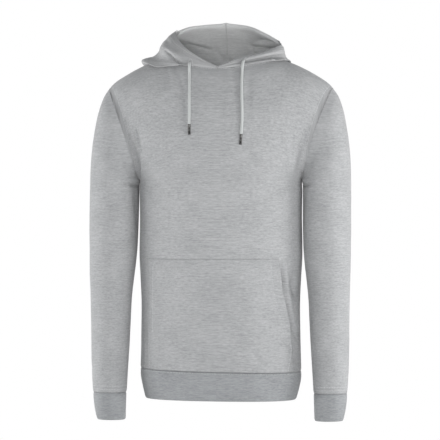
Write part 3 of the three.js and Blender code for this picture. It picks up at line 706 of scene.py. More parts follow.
@dataclass
class ClothShell:
    """A sheet of cloth, shaped from a flat grid and given its thickness.

    Attributes:
        node: CAD node that it stands for.
        cloth: Its finish.
        shape: Place in millimetres at shares 0 to 1 across and up.
        columns: Grid steps across.
        rows: Grid steps up.
        cut: Width and length it was cut to, in metres.
        area: Flat area of the cut, in square metres; not used.
        relief: How far the cloth comes out along its normal at shares across and up and a place.
        wraps: Whether its two sides meet, as round a tube.
        turned: Whether the grid's own faces look into the cloth.
        upright: Whether the knit's courses lie level instead of along the grid.
        thick: Share of the full thickness at shares across and up, where it isn't even.
        inside_painted_light: Lighter finish painted on its inner side as painted light, where there is one.
        seams: Stitched lines, each a list of shares across and up.
    """

    node: str
    cloth: Cloth
    shape: Callable[[float, float], Vector]
    columns: int
    rows: int
    cut: tuple[float, float]
    area: float
    relief: Callable[[float, float, Vector], float]
    wraps: bool = False
    turned: bool = False
    upright: bool = False
    thick: Callable[[float, float], float] | None = None
    inside_painted_light: Cloth | None = None
    seams: Sequence[Sequence[Spot]] = ()

    def build(self) -> bpy.types.Object:
        """Returns:
            The finished piece.
        """
        mesh = bmesh.new()
        bmesh.ops.create_grid(mesh, x_segments=self.columns, y_segments=self.rows, size=0.5, calc_uvs=True)
        self.place_grid(mesh)
        self.raise_relief(mesh)
        piece = dressed_piece(mesh, f"{self.node}_cloth", self.cloth)
        piece.data.uv_layers[0].name = "Cut"
        wall = piece.modifiers.new("wall", "SOLIDIFY")
        wall.thickness = WALL * MM * (RIM_THICKNESS if self.thick else 1)
        wall.offset = -1
        wall.use_even_offset = False
        if self.thick:
            piece.vertex_groups.new(name="thickness")
            wall.vertex_group = "thickness"
        if self.inside_painted_light:
            self.line(piece, wall)
        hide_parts(self.node)
        if self.seams:
            self.stitch()
        return piece

    def line(self, piece: bpy.types.Object, wall: bpy.types.SolidifyModifier) -> None:
        """Paint the inner side lighter, as painted light, between the low fold and the rim's hem, and on the
        front rim's cut edge.

        Args:
            piece: The piece.
            wall: The modifier that makes its inner side.
        """
        # The inner side's lighter finish is painted light inside the hood.
        for finish in (self.inside_painted_light, self.cloth, self.cloth):
            piece.data.materials.append(finish.material())
        wall.material_offset = 1
        wall.material_offset_rim = 1
        for face in piece.data.polygons:
            corner = piece.data.uv_layers[0].data[face.loop_start].uv
            across, up = corner.x / self.cut[0], corner.y / self.cut[1]
            is_front_rim = up > RIM_EDGE and across < 0.5
            if not PAINTED_LIGHT_START <= up <= PAINTED_LIGHT_END and not is_front_rim:
                face.material_index = 2

    def place_grid(self, mesh: bmesh.types.BMesh) -> None:
        """Give the flat grid its UVs and its shape, and close it where it wraps.

        Args:
            mesh: The grid.
        """
        cloth_uv = mesh.loops.layers.uv.verify()
        share = mesh.verts.layers.float_vector.new("share")
        for vertex in mesh.verts:
            vertex[share] = (vertex.co.x + 0.5, vertex.co.y + 0.5, 0)
            vertex.co = self.shape(vertex[share].x, vertex[share].y)
        for face in mesh.faces:
            for loop in face.loops:
                across, up, _ = loop.vert[share]
                level = loop.vert.co.z * MM if self.upright else up * self.cut[1]
                loop[cloth_uv].uv = (across * self.cut[0], level)
        if self.wraps:
            bmesh.ops.remove_doubles(mesh, verts=mesh.verts, dist=0.01)
        if self.turned:
            bmesh.ops.reverse_faces(mesh, faces=mesh.faces)

    def raise_relief(self, mesh: bmesh.types.BMesh) -> None:
        """Move the vertices along their normals, and store how thick the cloth is.

        Args:
            mesh: The shaped grid.
        """
        mesh.normal_update()
        share = mesh.verts.layers.float_vector["share"]
        moves = [vertex.normal * self.relief(vertex[share].x, vertex[share].y, vertex.co)
                 for vertex in mesh.verts]
        for vertex, move in zip(mesh.verts, moves):
            vertex.co += move
        if self.thick:
            deform = mesh.verts.layers.deform.verify()
            for vertex in mesh.verts:
                vertex[deform][0] = self.thick(vertex[share].x, vertex[share].y)

    def spot(self, across: float, up: float) -> tuple[Vector, Vector]:
        """Find a spot on the finished cloth.

        Args:
            across: Share across.
            up: Share up.

        Returns:
            The place and the outward way there.
        """
        step = 2e-3
        place = self.shape(across, up)
        right = self.shape(min(1.0, across + step), up) - self.shape(max(0.0, across - step), up)
        rise = self.shape(across, min(1.0, up + step)) - self.shape(across, max(0.0, up - step))
        way = right.cross(rise).normalized() * (-1 if self.turned else 1)
        return place + way * self.relief(across, up, place), way

    def stitch(self) -> None:
        """Sew the seams with rows of raised stitches, all in one mesh."""
        mesh = bmesh.new()
        for seam in self.seams:
            add_stitches(mesh, self.walk(seam))
        # The stitches' light thread is partly a painted highlight along the seams.
        dressed_piece(mesh, f"{self.node}_stitches", THREAD_WITH_PAINTED_HIGHLIGHT)

    def walk(self, seam: Sequence[Spot]) -> list[tuple[Vector, Vector]]:
        """Spots along a seam, one for each stitch.

        Args:
            seam: Shares across and up that it goes through.

        Returns:
            Place and outward way of each spot, a stitch apart.
        """
        spots = []
        gone = 0.0
        last = None
        for (across1, up1), (across2, up2) in zip(seam, seam[1:]):
            span = (self.shape(across2, up2) - self.shape(across1, up1)).length
            steps = max(8, round(span), round(abs(across2 - across1) * self.cut[0] / MM))
            for number in range(steps + 1):
                across, up = mix(across1, across2, number / steps), mix(up1, up2, number / steps)
                here = self.shape(across, up)
                gone += (here - last).length if last else STITCH_STEP
                last = here
                if gone >= STITCH_STEP:
                    spots.append(self.spot(across, up))
                    gone -= STITCH_STEP
        return spots


def armhole_point(depth_out: float, bow: float, turn: float) -> Point:
    """Place on the armhole seam.

    Args:
        depth_out: How far the seam reaches to the front or back.
        bow: How far it bows towards the middle.
        turn: 0 at the underarm to pi at the shoulder tip.

    Returns:
        Distance from the middle, depth and height.
    """
    along = -math.cos(turn)
    middle_x = (SHOULDER_TIP[0] + UNDERARM[0]) / 2
    middle_z = (SHOULDER_TIP[1] + UNDERARM[1]) / 2
    x = middle_x + along * (SHOULDER_TIP[0] - UNDERARM[0]) / 2 - bow * math.sin(turn) ** 2
    return x, depth_out * math.sin(turn), middle_z + along * (SHOULDER_TIP[1] - UNDERARM[1]) / 2


def section_point(edge_x: float, edge_depth: float, depth: float, share: float) -> tuple[float, float]:
    """Place on a body section that is cut off at an edge.

    Args:
        edge_x: Distance of the edge from the middle.
        edge_depth: Depth of the edge.
        depth: Depth of the middle.
        share: 0 at the middle to 1 at the edge.

    Returns:
        Distance from the middle and depth.
    """
    cut = (1 - (edge_depth / depth) ** BODY_ROUNDNESS) ** (1 / BODY_ROUNDNESS)
    turn = share * math.asin(min(1.0, cut ** (BODY_ROUNDNESS / 2)))
    power = 2 / BODY_ROUNDNESS
    return edge_x / cut * math.sin(turn) ** power, depth * max(0.0, math.cos(turn)) ** power


@dataclass
class BodyPanel:
    """The front or the back of the body.

    Attributes:
        facing: Which way it faces.
        depths: Its depth at the middle by height.
        neck: Depth and height of its neckline's middle.
        bow: How far its armhole bows towards the middle.
        creases: Its creases as seen from the front.
        armhole_depth: How far its armhole reaches to the front or back.
        half_width: Way round from its middle to its side.
        length: Way up from its hem to its top.
        columns: Grid steps across.
        rows_low: Grid steps up to the underarm.
        rows_high: Grid steps from the underarm to the top.
    """

    facing: Facing
    depths: Rows
    neck: Spot
    bow: float
    creases: Sequence[Crease] = ()
    armhole_depth: float = 62.0
    half_width: float = 260.0
    length: float = 640.0
    columns: int = 120
    rows_low: int = 90
    rows_high: int = 64

    def neckline(self, share: float) -> Point:
        """Find a place on half the neckline.

        Args:
            share: 0 at its middle to 1 at the side.

        Returns:
            Distance from the middle, depth and height.
        """
        turn = share * math.pi / 2
        side = math.sin(turn) ** NECK_RISE_POWER
        depth, height = self.neck
        return NECK_HALF_WIDTH * math.sin(turn), depth * math.cos(turn), mix(height, NECK_SIDE_Z, side)

    def top_edge(self, share: float) -> Point:
        """Find a place on the upper edge: half the neckline and then the shoulder seam.

        Args:
            share: 0 at the middle to 1 at the side.

        Returns:
            Distance from the middle, depth and height.
        """
        if share <= NECK_SHARE:
            return self.neckline(share / NECK_SHARE)
        x = mix(NECK_HALF_WIDTH, SHOULDER_TIP[0], (share - NECK_SHARE) / (1 - NECK_SHARE))
        return x, 0.0, smooth_value(SHOULDER_LINE, x)

    def soft_top(self, share: float, rise: float) -> Point:
        """Upper edge with its corner rounded off, more the further a row lies below it.

        Args:
            share: 0 at the middle to 1 at the side.
            rise: 0 at the underarm to 1 at the top.

        Returns:
            Distance from the middle, depth and height.
        """
        spread = min(0.5 * (1 - rise), share, 1 - share)
        places = [self.top_edge(share + spread * (2 * sample / 8 - 1)) for sample in range(9)]
        return tuple(sum(values) / 9 for values in zip(*places))

    def surface(self, across: float, up: float) -> Vector:
        """Place on the panel without its creases.

        Args:
            across: -1 to 1 from side to side.
            up: 0 at the hem, 1 at the underarm, 2 at the top.

        Returns:
            The place in millimetres.
        """
        side = math.copysign(1, across)
        share = abs(across)
        if up <= 1:
            z = mix(HEM_SEAM_Z, UNDERARM[1], up)
            x, depth = section_point(smooth_value(BODY_WIDTH, z), 0, smooth_value(self.depths, z), share)
        else:
            rise = up - 1
            edge = armhole_point(self.armhole_depth, self.bow, rise * math.pi)
            middle_z = mix(UNDERARM[1], self.neck[1], rise)
            plain_x, plain_depth = section_point(edge[0], edge[1], smooth_value(self.depths, middle_z), share)
            plain_z = middle_z + (edge[2] - middle_z) * (plain_x / edge[0]) ** 2
            top = self.soft_top(share, rise)
            pull = rise ** 3
            lift = ease(rise) ** 1.5
            near_neck = 0.5 * (1 - ease(share / 0.8))
            x = mix(plain_x, top[0], pull)
            depth = mix(plain_depth, top[1], pull)
            z = mix(plain_z, top[2], mix(lift, pull, near_neck))
            if share == 1:
                x, depth, z = edge
        return Vector((side * x, self.facing.value * (depth + HALF_GAP), z))

    def shape(self, across: float, up: float) -> Vector:
        """Place at shares 0 to 1 of the grid.

        Args:
            across: Share across.
            up: Share up.

        Returns:
            The place in millimetres.
        """
        row = up * (self.rows_low + self.rows_high)
        level = row / self.rows_low if row <= self.rows_low else 1 + (row - self.rows_low) / self.rows_high
        return sag(self.surface(round(2 * across - 1, 9), level))

    def relief(self, across: float, up: float, place: Vector) -> float:
        """Creases, slow unevenness, the dips into the seams round the panel and the folds beside them.

        Args:
            across: Share across.
            up: Share up.
            place: The place there.

        Returns:
            How far the cloth comes out.
        """
        share = abs(2 * across - 1)
        to_side = (1 - share) * self.half_width
        to_top = (1 - up) * self.length
        to_end = min(up, 1 - up) * self.length
        seam = 1.1 * falloff(min(to_side, to_end), SEAM_WIDTH) * mix(1, 0.1, ease(up * 5 - 3.2))
        fold = 0.9 * falloff(to_top - 5, 2.4) if share < NECK_SHARE else 0.0
        fold += 1.5 * falloff(to_side - 6, 2.8) * ease((up - 0.56) * 12) * ease((0.86 - up) * 8)
        loose = ease(to_side / 26) * ease(to_end / 40)
        depth = creases_at(self.creases, place.x, place.z)
        return drape(place.x, place.y, place.z, 1.1) * loose - depth * ease(to_side / 8) - seam + fold

    def build(self) -> bpy.types.Object:
        """Make the panel's cloth.

        Returns:
            The finished piece.
        """
        rows = self.rows_low + self.rows_high
        low = self.rows_low / rows
        armholes = [[(edge, low + (1 - low) * share / 12) for share in range(13)] for edge in (0.012, 0.988)]
        neckline = [(0.26 + 0.04 * step, 0.986) for step in range(13)]
        return ClothShell(self.facing.name.lower(), JERSEY, self.shape, self.columns, rows, (0.52, 0.64),
                          0.285, self.relief, turned=self.facing is Facing.BACK,
                          seams=[*armholes, neckline]).build()


FRONT_CREASES = crease_table(
    (-86, 2, -68, -50, 6, 4.4), (-70, -42, -62, -128, 7, 3.8), (-104, 0, -96, -34, 5, 2.6),
    (30, 0, 42, -46, 6, 4.4), (40, -36, 45, -128, 7, 3.8), (64, -12, 66, -90, 6, 2.4),
    (-167, -119, -160, -147, 3.2, 4.2), (-161, -145, -156, -166, 3.2, 3.6),
    (-155, -100, -154, -175, 3.4, -2.6), (-154, -170, -157, -238, 3.4, -2.2),
    (-172, -150, -162, -206, 5, 3.0), (182, -122, 164, -158, 4, 4.0), (174, -150, 162, -204, 5, 3.0),
    (156, -120, 155, -200, 4, -2.0), (-166, -228, -122, -240, 9, 2.2), (165, -228, 124, -243, 9, 2.2),
    (-150, -190, -96, -250, 14, 1.4), (150, -196, 92, -262, 14, 1.3), (-120, -60, -90, -40, 14, -1.6),
    (96, -40, 122, -66, 14, 1.4), (-36, -262, -30, -372, 20, 1.2), (58, -250, 66, -380, 22, 1.2),
    (-124, -300, -136, -392, 14, 1.4), (132, -290, 140, -380, 13, 1.6), (150, -424, 156, -462, 4.5, 9.0),
    (152, -560, 160, -600, 6, 3.4),
)
OPENING_SHADOW = crease_table(
    (128.5, -384, 130.5, -412, 2.6, 3.6), (130.5, -410, 134.5, -448, 2.6, 5.4),
    (134.5, -446, 140, -476, 2.6, 5.4), (140, -474, 145.5, -503, 2.6, 5.4),
    (145.5, -501, 151.5, -527, 2.6, 5.4), (151.5, -525, 156.5, -544, 2.6, 3.4),
    (136, -388, 141, -446, 5.0, -3.6), (141, -444, 151, -500, 4.6, -3.6),
    (151, -498, 158, -530, 4.0, -2.4),
)
BACK_CREASES = crease_table(
    (-160, -150, -118, -215, 11, 4.2), (158, -158, 112, -230, 11, 4.0), (-166, -226, -112, -246, 10, 3.0),
    (165, -226, 118, -250, 10, 3.0), (-70, -505, 64, -520, 13, 3.4), (-128, -470, -20, -494, 11, 2.2),
    (134, -486, 34, -500, 11, 2.4), (-40, -200, -34, -400, 20, 1.8), (46, -190, 40, -420, 22, 1.8),
)


@dataclass
class Sleeve:
    """A sleeve from the armhole to the cuff seam.

    Attributes:
        hand: Which side it is on.
        creases: Its creases, on the way round from the outer line and the height.
        length: Way up from the cuff seam to the armhole.
        round_way: Way round it at its creases.
        columns: Grid steps round.
        rows: Grid steps up.
    """

    hand: Hand
    creases: Sequence[Crease] = ()
    length: float = 600.0
    round_way: float = 300.0
    columns: int = 120
    rows: int = 190

    def section(self, place: float) -> list[float]:
        """Section values at a place along the table, in rows."""
        rows = [(number, *values) for number, values in enumerate(SLEEVE_SECTIONS)]
        return [smooth_value(rows, place, column) for column in range(1, 7)]

    def shape(self, across: float, up: float) -> Vector:
        """Place at shares 0 to 1 of the grid, from the cuff seam up.

        Args:
            across: Share round, from the outer line.
            up: Share up.

        Returns:
            The place in millimetres.
        """
        place = (1 - up) * (len(SLEEVE_SECTIONS) - 1)
        outer_x, outer_z, inner_x, inner_z, middle_y, half_depth = self.section(place)
        turn = across * math.tau
        along = math.cos(turn)
        near_top = max(0.0, 1 - place)
        bow = FRONT_BOW * math.sin(turn) ** 2 * near_top if math.sin(turn) > 0 else 0.0
        x = (outer_x + inner_x) / 2 + along * (outer_x - inner_x) / 2 - bow
        z = (outer_z + inner_z) / 2 + along * (outer_z - inner_z) / 2
        y = middle_y - half_depth * math.sin(turn)
        return Vector((self.hand.value * x + self.hand.value * SEAM_GAP * near_top, y, z))

    def relief(self, across: float, up: float, place: Vector) -> float:
        """Creases, unevenness and the dips into the end seams.

        Args:
            across: Share round, from the outer line.
            up: Share up.
            place: The place there.

        Returns:
            How far the cloth comes out.
        """
        to_end = min(up, 1 - up) * self.length
        seam = falloff(to_end, SEAM_WIDTH) * mix(1, 0.15, ease(up * 3 - 2))
        inner = ease(abs(across - 0.5) * 5)
        loose = ease(to_end / 40) * inner
        round_way = (across if across < 0.5 else across - 1) * self.round_way
        depth = creases_at(self.creases, round_way, place.z) * (0.7 + 0.3 * inner)
        return drape(place.x, place.y + 40, place.z, 1.3) * loose - depth - seam

    def build(self) -> bpy.types.Object:
        """Make the sleeve's cloth.

        Returns:
            The finished piece.
        """
        rings = [[(step / 24, up) for step in range(25)] for up in (0.01, 0.019)]
        return ClothShell(f"sleeve_{self.hand.name.lower()}", JERSEY, self.shape, self.columns, self.rows,
                          (0.38, 0.60), 0.167, self.relief, wraps=True, turned=self.hand is Hand.RIGHT,
                          upright=True, seams=rings).build()


SLEEVE_CREASES_LEFT = crease_table(
    (104, -233, 146, -236, 3.4, 7.0), (102, -223, 146, -226, 3.0, -3.4), (126, -236, 144, -320, 9, 5.0),
    (40, -150, 118, -206, 12, 1.6), (112, -356, 142, -336, 6, 3.2), (84, -400, 140, -378, 9, 1.8),
    (20, -446, 110, -428, 12, 1.6), (30, -500, 100, -482, 12, 1.2), (-90, -430, -20, -405, 12, 2.2),
    (-120, -250, -60, -220, 11, 2.6), (-118, -350, -50, -372, 12, 2.0), (10, -606, 90, -594, 9, 1.6),
    (-80, -620, -10, -634, 9, 1.8), (44, -642, 100, -632, 7, 1.6),
)
SLEEVE_CREASES_RIGHT = crease_table(
    (106, -233, 146, -237, 3.4, 7.0), (104, -223, 146, -227, 3.0, -3.4), (126, -238, 144, -330, 10, 5.0),
    (46, -140, 118, -200, 12, 1.4), (108, -380, 142, -352, 7, 2.2), (50, -396, 130, -368, 12, 1.6),
    (16, -470, 110, -446, 12, 1.6), (26, -540, 96, -524, 12, 1.2), (-90, -440, -24, -418, 12, 2.0),
    (-120, -256, -62, -226, 11, 2.4), (-112, -346, -56, -366, 12, 1.8), (14, -600, 92, -612, 9, 1.6),
    (-84, -628, -12, -616, 9, 1.8), (38, -634, 94, -644, 7, 1.6),
)


def band_relief(place: Vector, up: float, height: float, amount: float) -> float:
    """Relief of a cuff or the hem band: rounded lower edge, dip into the seam and soft ripples.

    Args:
        place: The place.
        up: Share up.
        height: The band's height.
        amount: Size of the ripples.

    Returns:
        How far the cloth comes out.
    """
    top = falloff((1 - up) * height, 2.4)
    bottom = 1.2 * falloff(up * height, 1.8)
    return drape(place.x, place.y, place.z * 0.3, amount) * ease(up * 4) - top - bottom


@dataclass
class Cuff:
    """A cuff below its sleeve.

    Attributes:
        hand: Which side it is on.
        height: Its height.
    """

    hand: Hand
    height: float = CUFF_SEAM_Z - CUFF_BOTTOM_Z

    def shape(self, across: float, up: float) -> Vector:
        """Place at shares 0 to 1 of the grid, from the bottom up.

        Args:
            across: Share round, from the outer line.
            up: Share up.

        Returns:
            The place in millimetres.
        """
        z = mix(CUFF_BOTTOM_Z, CUFF_SECTIONS[0][0], up)
        outer_x, inner_x, middle_y, half_depth = (
            smooth_value(CUFF_SECTIONS, z, column) for column in range(1, 5))
        turn = across * math.tau
        x = (outer_x + inner_x) / 2 + math.cos(turn) * (outer_x - inner_x) / 2
        return Vector((self.hand.value * x, middle_y - half_depth * math.sin(turn), z))

    def relief(self, across: float, up: float, place: Vector) -> float:
        """How far the cloth comes out at a share up and a place."""
        return band_relief(place, up, self.height, 0.7)

    def build(self) -> bpy.types.Object:
        """Make the cuff's cloth.

        Returns:
            The finished piece.
        """
        return ClothShell(f"cuff_{self.hand.name.lower()}", BAND_JERSEY, self.shape, 72, 24, (0.215, 0.057),
                          0.0118, self.relief, wraps=True, turned=self.hand is Hand.RIGHT).build()


@dataclass
class HemBand:
    """The band round the hem.

    Attributes:
        creases: The creases of its front.
        height: Its height.
    """

    creases: Sequence[Crease] = crease_table((92, -628, 142, -633, 4, 2.2), (-60, -640, 20, -646, 9, 0.8))
    height: float = HEM_SEAM_Z - HEM_BOTTOM_Z

    def shape(self, across: float, up: float) -> Vector:
        """Place at shares 0 to 1 of the grid, round from the front middle and from the bottom up.

        Args:
            across: Share round.
            up: Share up.

        Returns:
            The place in millimetres.
        """
        z = mix(HEM_BOTTOM_Z, HEM_SECTIONS[0][0], up)
        quarter = across * 4
        number = min(3, int(quarter))
        share = quarter - number
        to_side = share if number % 2 == 0 else 1 - share
        facing = -1 if number in (0, 3) else 1
        hand = 1 if number < 2 else -1
        depth = smooth_value(HEM_SECTIONS, z, 2 if facing < 0 else 3)
        x, deep = section_point(smooth_value(HEM_SECTIONS, z, 1), 0, depth, to_side)
        return sag(Vector((hand * x, facing * deep, z)))

    def relief(self, across: float, up: float, place: Vector) -> float:
        """How far the cloth comes out at a share up and a place, less the front's creases."""
        deep = creases_at(self.creases, place.x, place.z) if place.y < 0 else 0.0
        return band_relief(place, up, self.height, 1.0) - deep

    def build(self) -> bpy.types.Object:
        """Make the band's cloth.

        Returns:
            The finished piece.
        """
        row = [(step / 48, 0.94) for step in range(49)]
        return ClothShell("hem_band", BAND_JERSEY, self.shape, 224, 26, (0.90, 0.062), 0.054, self.relief,
                          wraps=True, seams=[row]).build()


POCKET_CREASES = crease_table(
    (-30, -556, -20, -600, 7, 2.2), (74, -566, 93, -604, 7, 2.8), (132, -542, 158, -568, 5, 3.4),
    (104, -556, 128, -580, 8, 1.6), (-118, -520, -138, -556, 9, 1.4), (-60, -420, -50, -520, 18, 1.0),
    (30, -410, 36, -500, 18, 0.9),
)


@dataclass
class Pocket:
    """The kangaroo pocket, made from the front's own points and moved out.

    Attributes:
        front: The panel that it lies on.
        clear: How far it stands off the front.
        gape: How far its right hand opening stands off further.
        top_z: Height of its upper edge.
        width: Its width.
        height: Its height.
        facing: Width of its hand openings' facing.
        columns: Grid steps across.
        rows: Grid steps up.
        edges: Shares of its edges on the front by height, once they are worked out.
    """

    front: BodyPanel
    clear: float = 2.7
    gape: float = 3.0
    top_z: float = -382.0
    width: float = 280.0
    height: float = 224.0
    facing: float = 21.0
    columns: int = 84
    rows: int = 64
    edges: dict[float, tuple[float, float]] = field(default_factory=dict)

    def share_at(self, width: float, level: float) -> float:
        """Find where the front is as wide as asked for.

        Args:
            width: Distance from the middle.
            level: 0 at the hem to 1 at the underarm.

        Returns:
            Share of the way from the middle to the side.
        """
        low, high = 0.0, 1.0
        for _ in range(24):
            middle = (low + high) / 2
            if self.front.surface(middle, level).x < width:
                low = middle
            else:
                high = middle
        return (low + high) / 2

    def shape(self, across: float, up: float) -> Vector:
        """Place at shares 0 to 1 of the grid, from the hem seam up.

        Args:
            across: Share across.
            up: Share up.

        Returns:
            The place in millimetres.
        """
        z = mix(HEM_SEAM_Z, self.top_z, up)
        level = (z - HEM_SEAM_Z) / (UNDERARM[1] - HEM_SEAM_Z)
        key = round(z, 4)
        if key not in self.edges:
            self.edges[key] = tuple(self.share_at(smooth_value(POCKET_ROWS, z, column), level)
                                    for column in (1, 2))
        left, right = self.edges[key]
        here = mix(-left, right, across)
        place = self.front.surface(here, level)
        step = 1e-3
        along = self.front.surface(here + step, level) - self.front.surface(here - step, level)
        away = along.cross(Vector((0, 0, 1))).normalized()
        return sag(place + away * self.stand_off(across, up))

    def stand_off(self, across: float, up: float) -> float:
        """How far the pocket's outer face stands off the front, more at its right hand opening.

        Args:
            across: Share across.
            up: Share up.

        Returns:
            The distance.
        """
        opening = ease((up - 0.26) / 0.2) * ease((0.98 - up) / 0.12) * (1.0 if across > 0.5 else 0.1)
        to_edge = min(across, 1 - across) * self.width
        to_top = (1 - up) * self.height
        pressed = 2.4 * falloff(min(to_edge, to_top), 13) * (1 - opening)
        return self.clear - pressed + self.gape * opening * falloff(to_edge, 11)

    def relief(self, across: float, up: float, place: Vector) -> float:
        """The facing's stitched line pressed in, the beads at the edges, creases and soft unevenness.

        Args:
            across: Share across.
            up: Share up.
            place: The place there.

        Returns:
            How far the cloth comes out.
        """
        to_side = min(across, 1 - across) * self.width
        pressed = 0.9 * falloff(to_side - self.facing, 2.0) - 1.5 * falloff(to_side, 3.5)
        pressed *= 1.0 if across > 0.5 else 0.1
        deep = creases_at(POCKET_CREASES, place.x, place.z) + creases_at(FRONT_CREASES, place.x, place.z)
        loose = ease(up * self.height / 40)
        return drape(place.x, place.y, place.z, 1.1) * loose - pressed - deep * ease(to_side / 9)

    def thick(self, across: float, up: float) -> float:
        """Share of the full thickness, which is the same all over."""
        return 0.38

    def build(self) -> bpy.types.Object:
        """Make the pocket's cloth.

        Returns:
            The finished piece.
        """
        facing = self.facing / self.width
        openings = [[(edge, 0.26 + 0.07 * step) for step in range(11)] for edge in (facing, 1 - facing)]
        sides = [[(edge, 0.02 + 0.06 * step) for step in range(5)] for edge in (0.012, 0.988)]
        return ClothShell("pocket", JERSEY, self.shape, self.columns, self.rows, (0.32, 0.225), 0.064,
                          self.relief, thick=self.thick, seams=openings + sides).build()


HOOD_OUTER_LEFT = crease_table(
    (-108, 38, -92, 23, 2.4, 6.0), (-94, 24, -76, 13, 2.4, 6.5), (-78, 14, -58, 9, 2.2, 5.0),
    (-60, 9, -44, 7, 2.0, 2.6), (-112, 46, -74, 22, 6, -2.4), (-140, 22, -112, 20, 5, 2.4),
    (-112, 66, -102, 50, 6, 2.2), (-92, 50, -84, 34, 8, 1.6),
)
HOOD_OUTER_RIGHT = crease_table(
    (46, 11, 80, 18.5, 2.2, 5.0), (78, 18, 108, 25, 2.2, 6.5), (106, 25, 124, 28, 2.2, 6.5),
    (122, 28, 135, 23, 2.2, 4.5), (60, 20, 124, 38, 5, -2.2),
)
HOOD_INNER_LEFT = crease_table(
    (-79, 60, -34, 47, 3.4, 5.0), (-90, 66, -40, 55, 6, -3.0), (-96, 52, -52, 14, 14, 6.0),
    (-24, 50, -4, 20, 3.2, 5.0), (-60, 84, -20, 80, 10, 1.6),
)
HOOD_INNER_RIGHT = crease_table(
    (-4, 50, 2, 28, 2.6, 3.6), (0, 30, 14, 14, 3.4, 6.0), (72, 66, 112, 56, 3.0, 5.0),
    (56, 52, 108, 48, 3.0, 5.0), (64, 59, 106, 52, 3.0, -3.0), (50, 60, 58, 38, 5, 3.4),
    (20, 84, 52, 76, 9, 1.6), (30, 34, 70, 36, 8, 1.8),
)


@dataclass
class HoodPanel:
    """Half of the hood, from the neck seam over its low fold and back to the rim.

    Attributes:
        hand: Which side it is on.
        stations: Its sections round the neck.
        cord_exit: Where the drawcord comes out of it.
        outer_creases: Creases of its outside in front.
        inner_creases: Creases of its inside at the back.
        columns: Grid steps round from the front.
        rows: Grid steps up from the neck seam.
    """

    hand: Hand
    stations: Rows
    cord_exit: Point
    outer_creases: Sequence[Crease] = ()
    inner_creases: Sequence[Crease] = ()
    columns: int = 140
    rows: int = 170

    def shape(self, across: float, up: float) -> Vector:
        """Place at shares 0 to 1 of the grid, round from the front and up from the neck seam.

        Args:
            across: Share round.
            up: Share up.

        Returns:
            The place in millimetres.
        """
        angle = 180 * across
        radians = math.radians(angle)
        neck_depth, neck_z = FRONT_NECK if angle <= 90 else BACK_NECK
        side = abs(math.sin(radians)) ** NECK_RISE_POWER
        base = Vector((NECK_HALF_WIDTH * math.sin(radians), -neck_depth * math.cos(radians),
                       mix(neck_z, NECK_SIDE_Z, side)))
        outward = Vector((math.sin(radians) / NECK_HALF_WIDTH, -math.cos(radians) / neck_depth)).normalized()
        knots = [(0, 0.0, 0.0)]
        for number in range(1, HOOD_KNOTS + 1):
            out = smooth_value(self.stations, angle, 2 * number - 1)
            rise = smooth_value(self.stations, angle, 2 * number)
            knots.append((number, out, rise))
        place = up * HOOD_KNOTS
        out = smooth_value(knots, place, 1) + WALL
        rise = smooth_value(knots, place, 2)
        x = base.x + outward.x * out
        y = base.y + outward.y * out + HOOD_LEAN * max(0.0, rise)
        return Vector((self.hand.value * (x + HALF_GAP), y, base.z + rise + SEAM_GAP))

    def relief(self, across: float, up: float, place: Vector) -> float:
        """Creases, unevenness, and the dips at the neck seam and the middle seam.

        Args:
            across: Share round.
            up: Share up.
            place: The place there.

        Returns:
            How far the cloth comes out.
        """
        middle = falloff((1 - across) * 300, 2.6)
        base = 0.8 * falloff(up * 60, 2.4)
        loose = ease(up * 5) * ease((1 - up) * 5) * ease(across * 6)
        outer = ease((0.60 - across) * 12) * ease((up - 0.24) * 12)
        inner = ease((across - 0.50) * 12) * ease((up - 0.42) * 12) * ease((0.76 - up) * 12)
        inner *= ease((1 - across) * 60)
        deep = creases_at(self.outer_creases, place.x, place.z) * outer
        ridge = creases_at(self.inner_creases, place.x, place.z) * inner
        return drape(place.x, place.y, place.z, 1.0) * loose - deep + ridge - middle - base

    def eyelet(self) -> list[Spot]:
        """Ring round the stitched hole that the drawcord comes out of.

        Returns:
            Shares across and up, round the hole.
        """
        aim = Vector(self.cord_exit)
        spots = [(0.05 + 0.005 * across, 0.02 * up) for across in range(50) for up in range(5, 46)]
        across, up = min(spots, key=lambda spot: (self.shape(*spot) - aim).length)
        step = 0.01
        wide = (self.shape(across + step, up) - self.shape(across - step, up)).length / (2 * step)
        high = (self.shape(across, up + step) - self.shape(across, up - step)).length / (2 * step)
        turns = [math.tau * number / 16 for number in range(17)]
        return [(across + EYELET_RADIUS * math.cos(turn) / wide, up + EYELET_RADIUS * math.sin(turn) / high)
                for turn in turns]

    def thick(self, across: float, up: float) -> float:
        """Share of the full thickness: the turned hem along the rim is thicker."""
        return mix(0.62, 1.0, ease((up - 0.80) / 0.03) * ease(across * 12))

    def build(self) -> bpy.types.Object:
        """Make this half's cloth.

        Returns:
            The finished piece.
        """
        rim = [(0.06 + 0.047 * step, 0.79) for step in range(21)]
        middle = [(0.983, 0.06 + 0.09 * step) for step in range(11)]
        return ClothShell(f"hood_{self.hand.name.lower()}", HOOD_JERSEY, self.shape, self.columns, self.rows,
                          (0.34, 0.30), 0.058, self.relief, turned=self.hand is Hand.LEFT, thick=self.thick,
                          inside_painted_light=HOOD_INSIDE_PAINTED_LIGHT, seams=[rim, middle, self.eyelet()]).build()


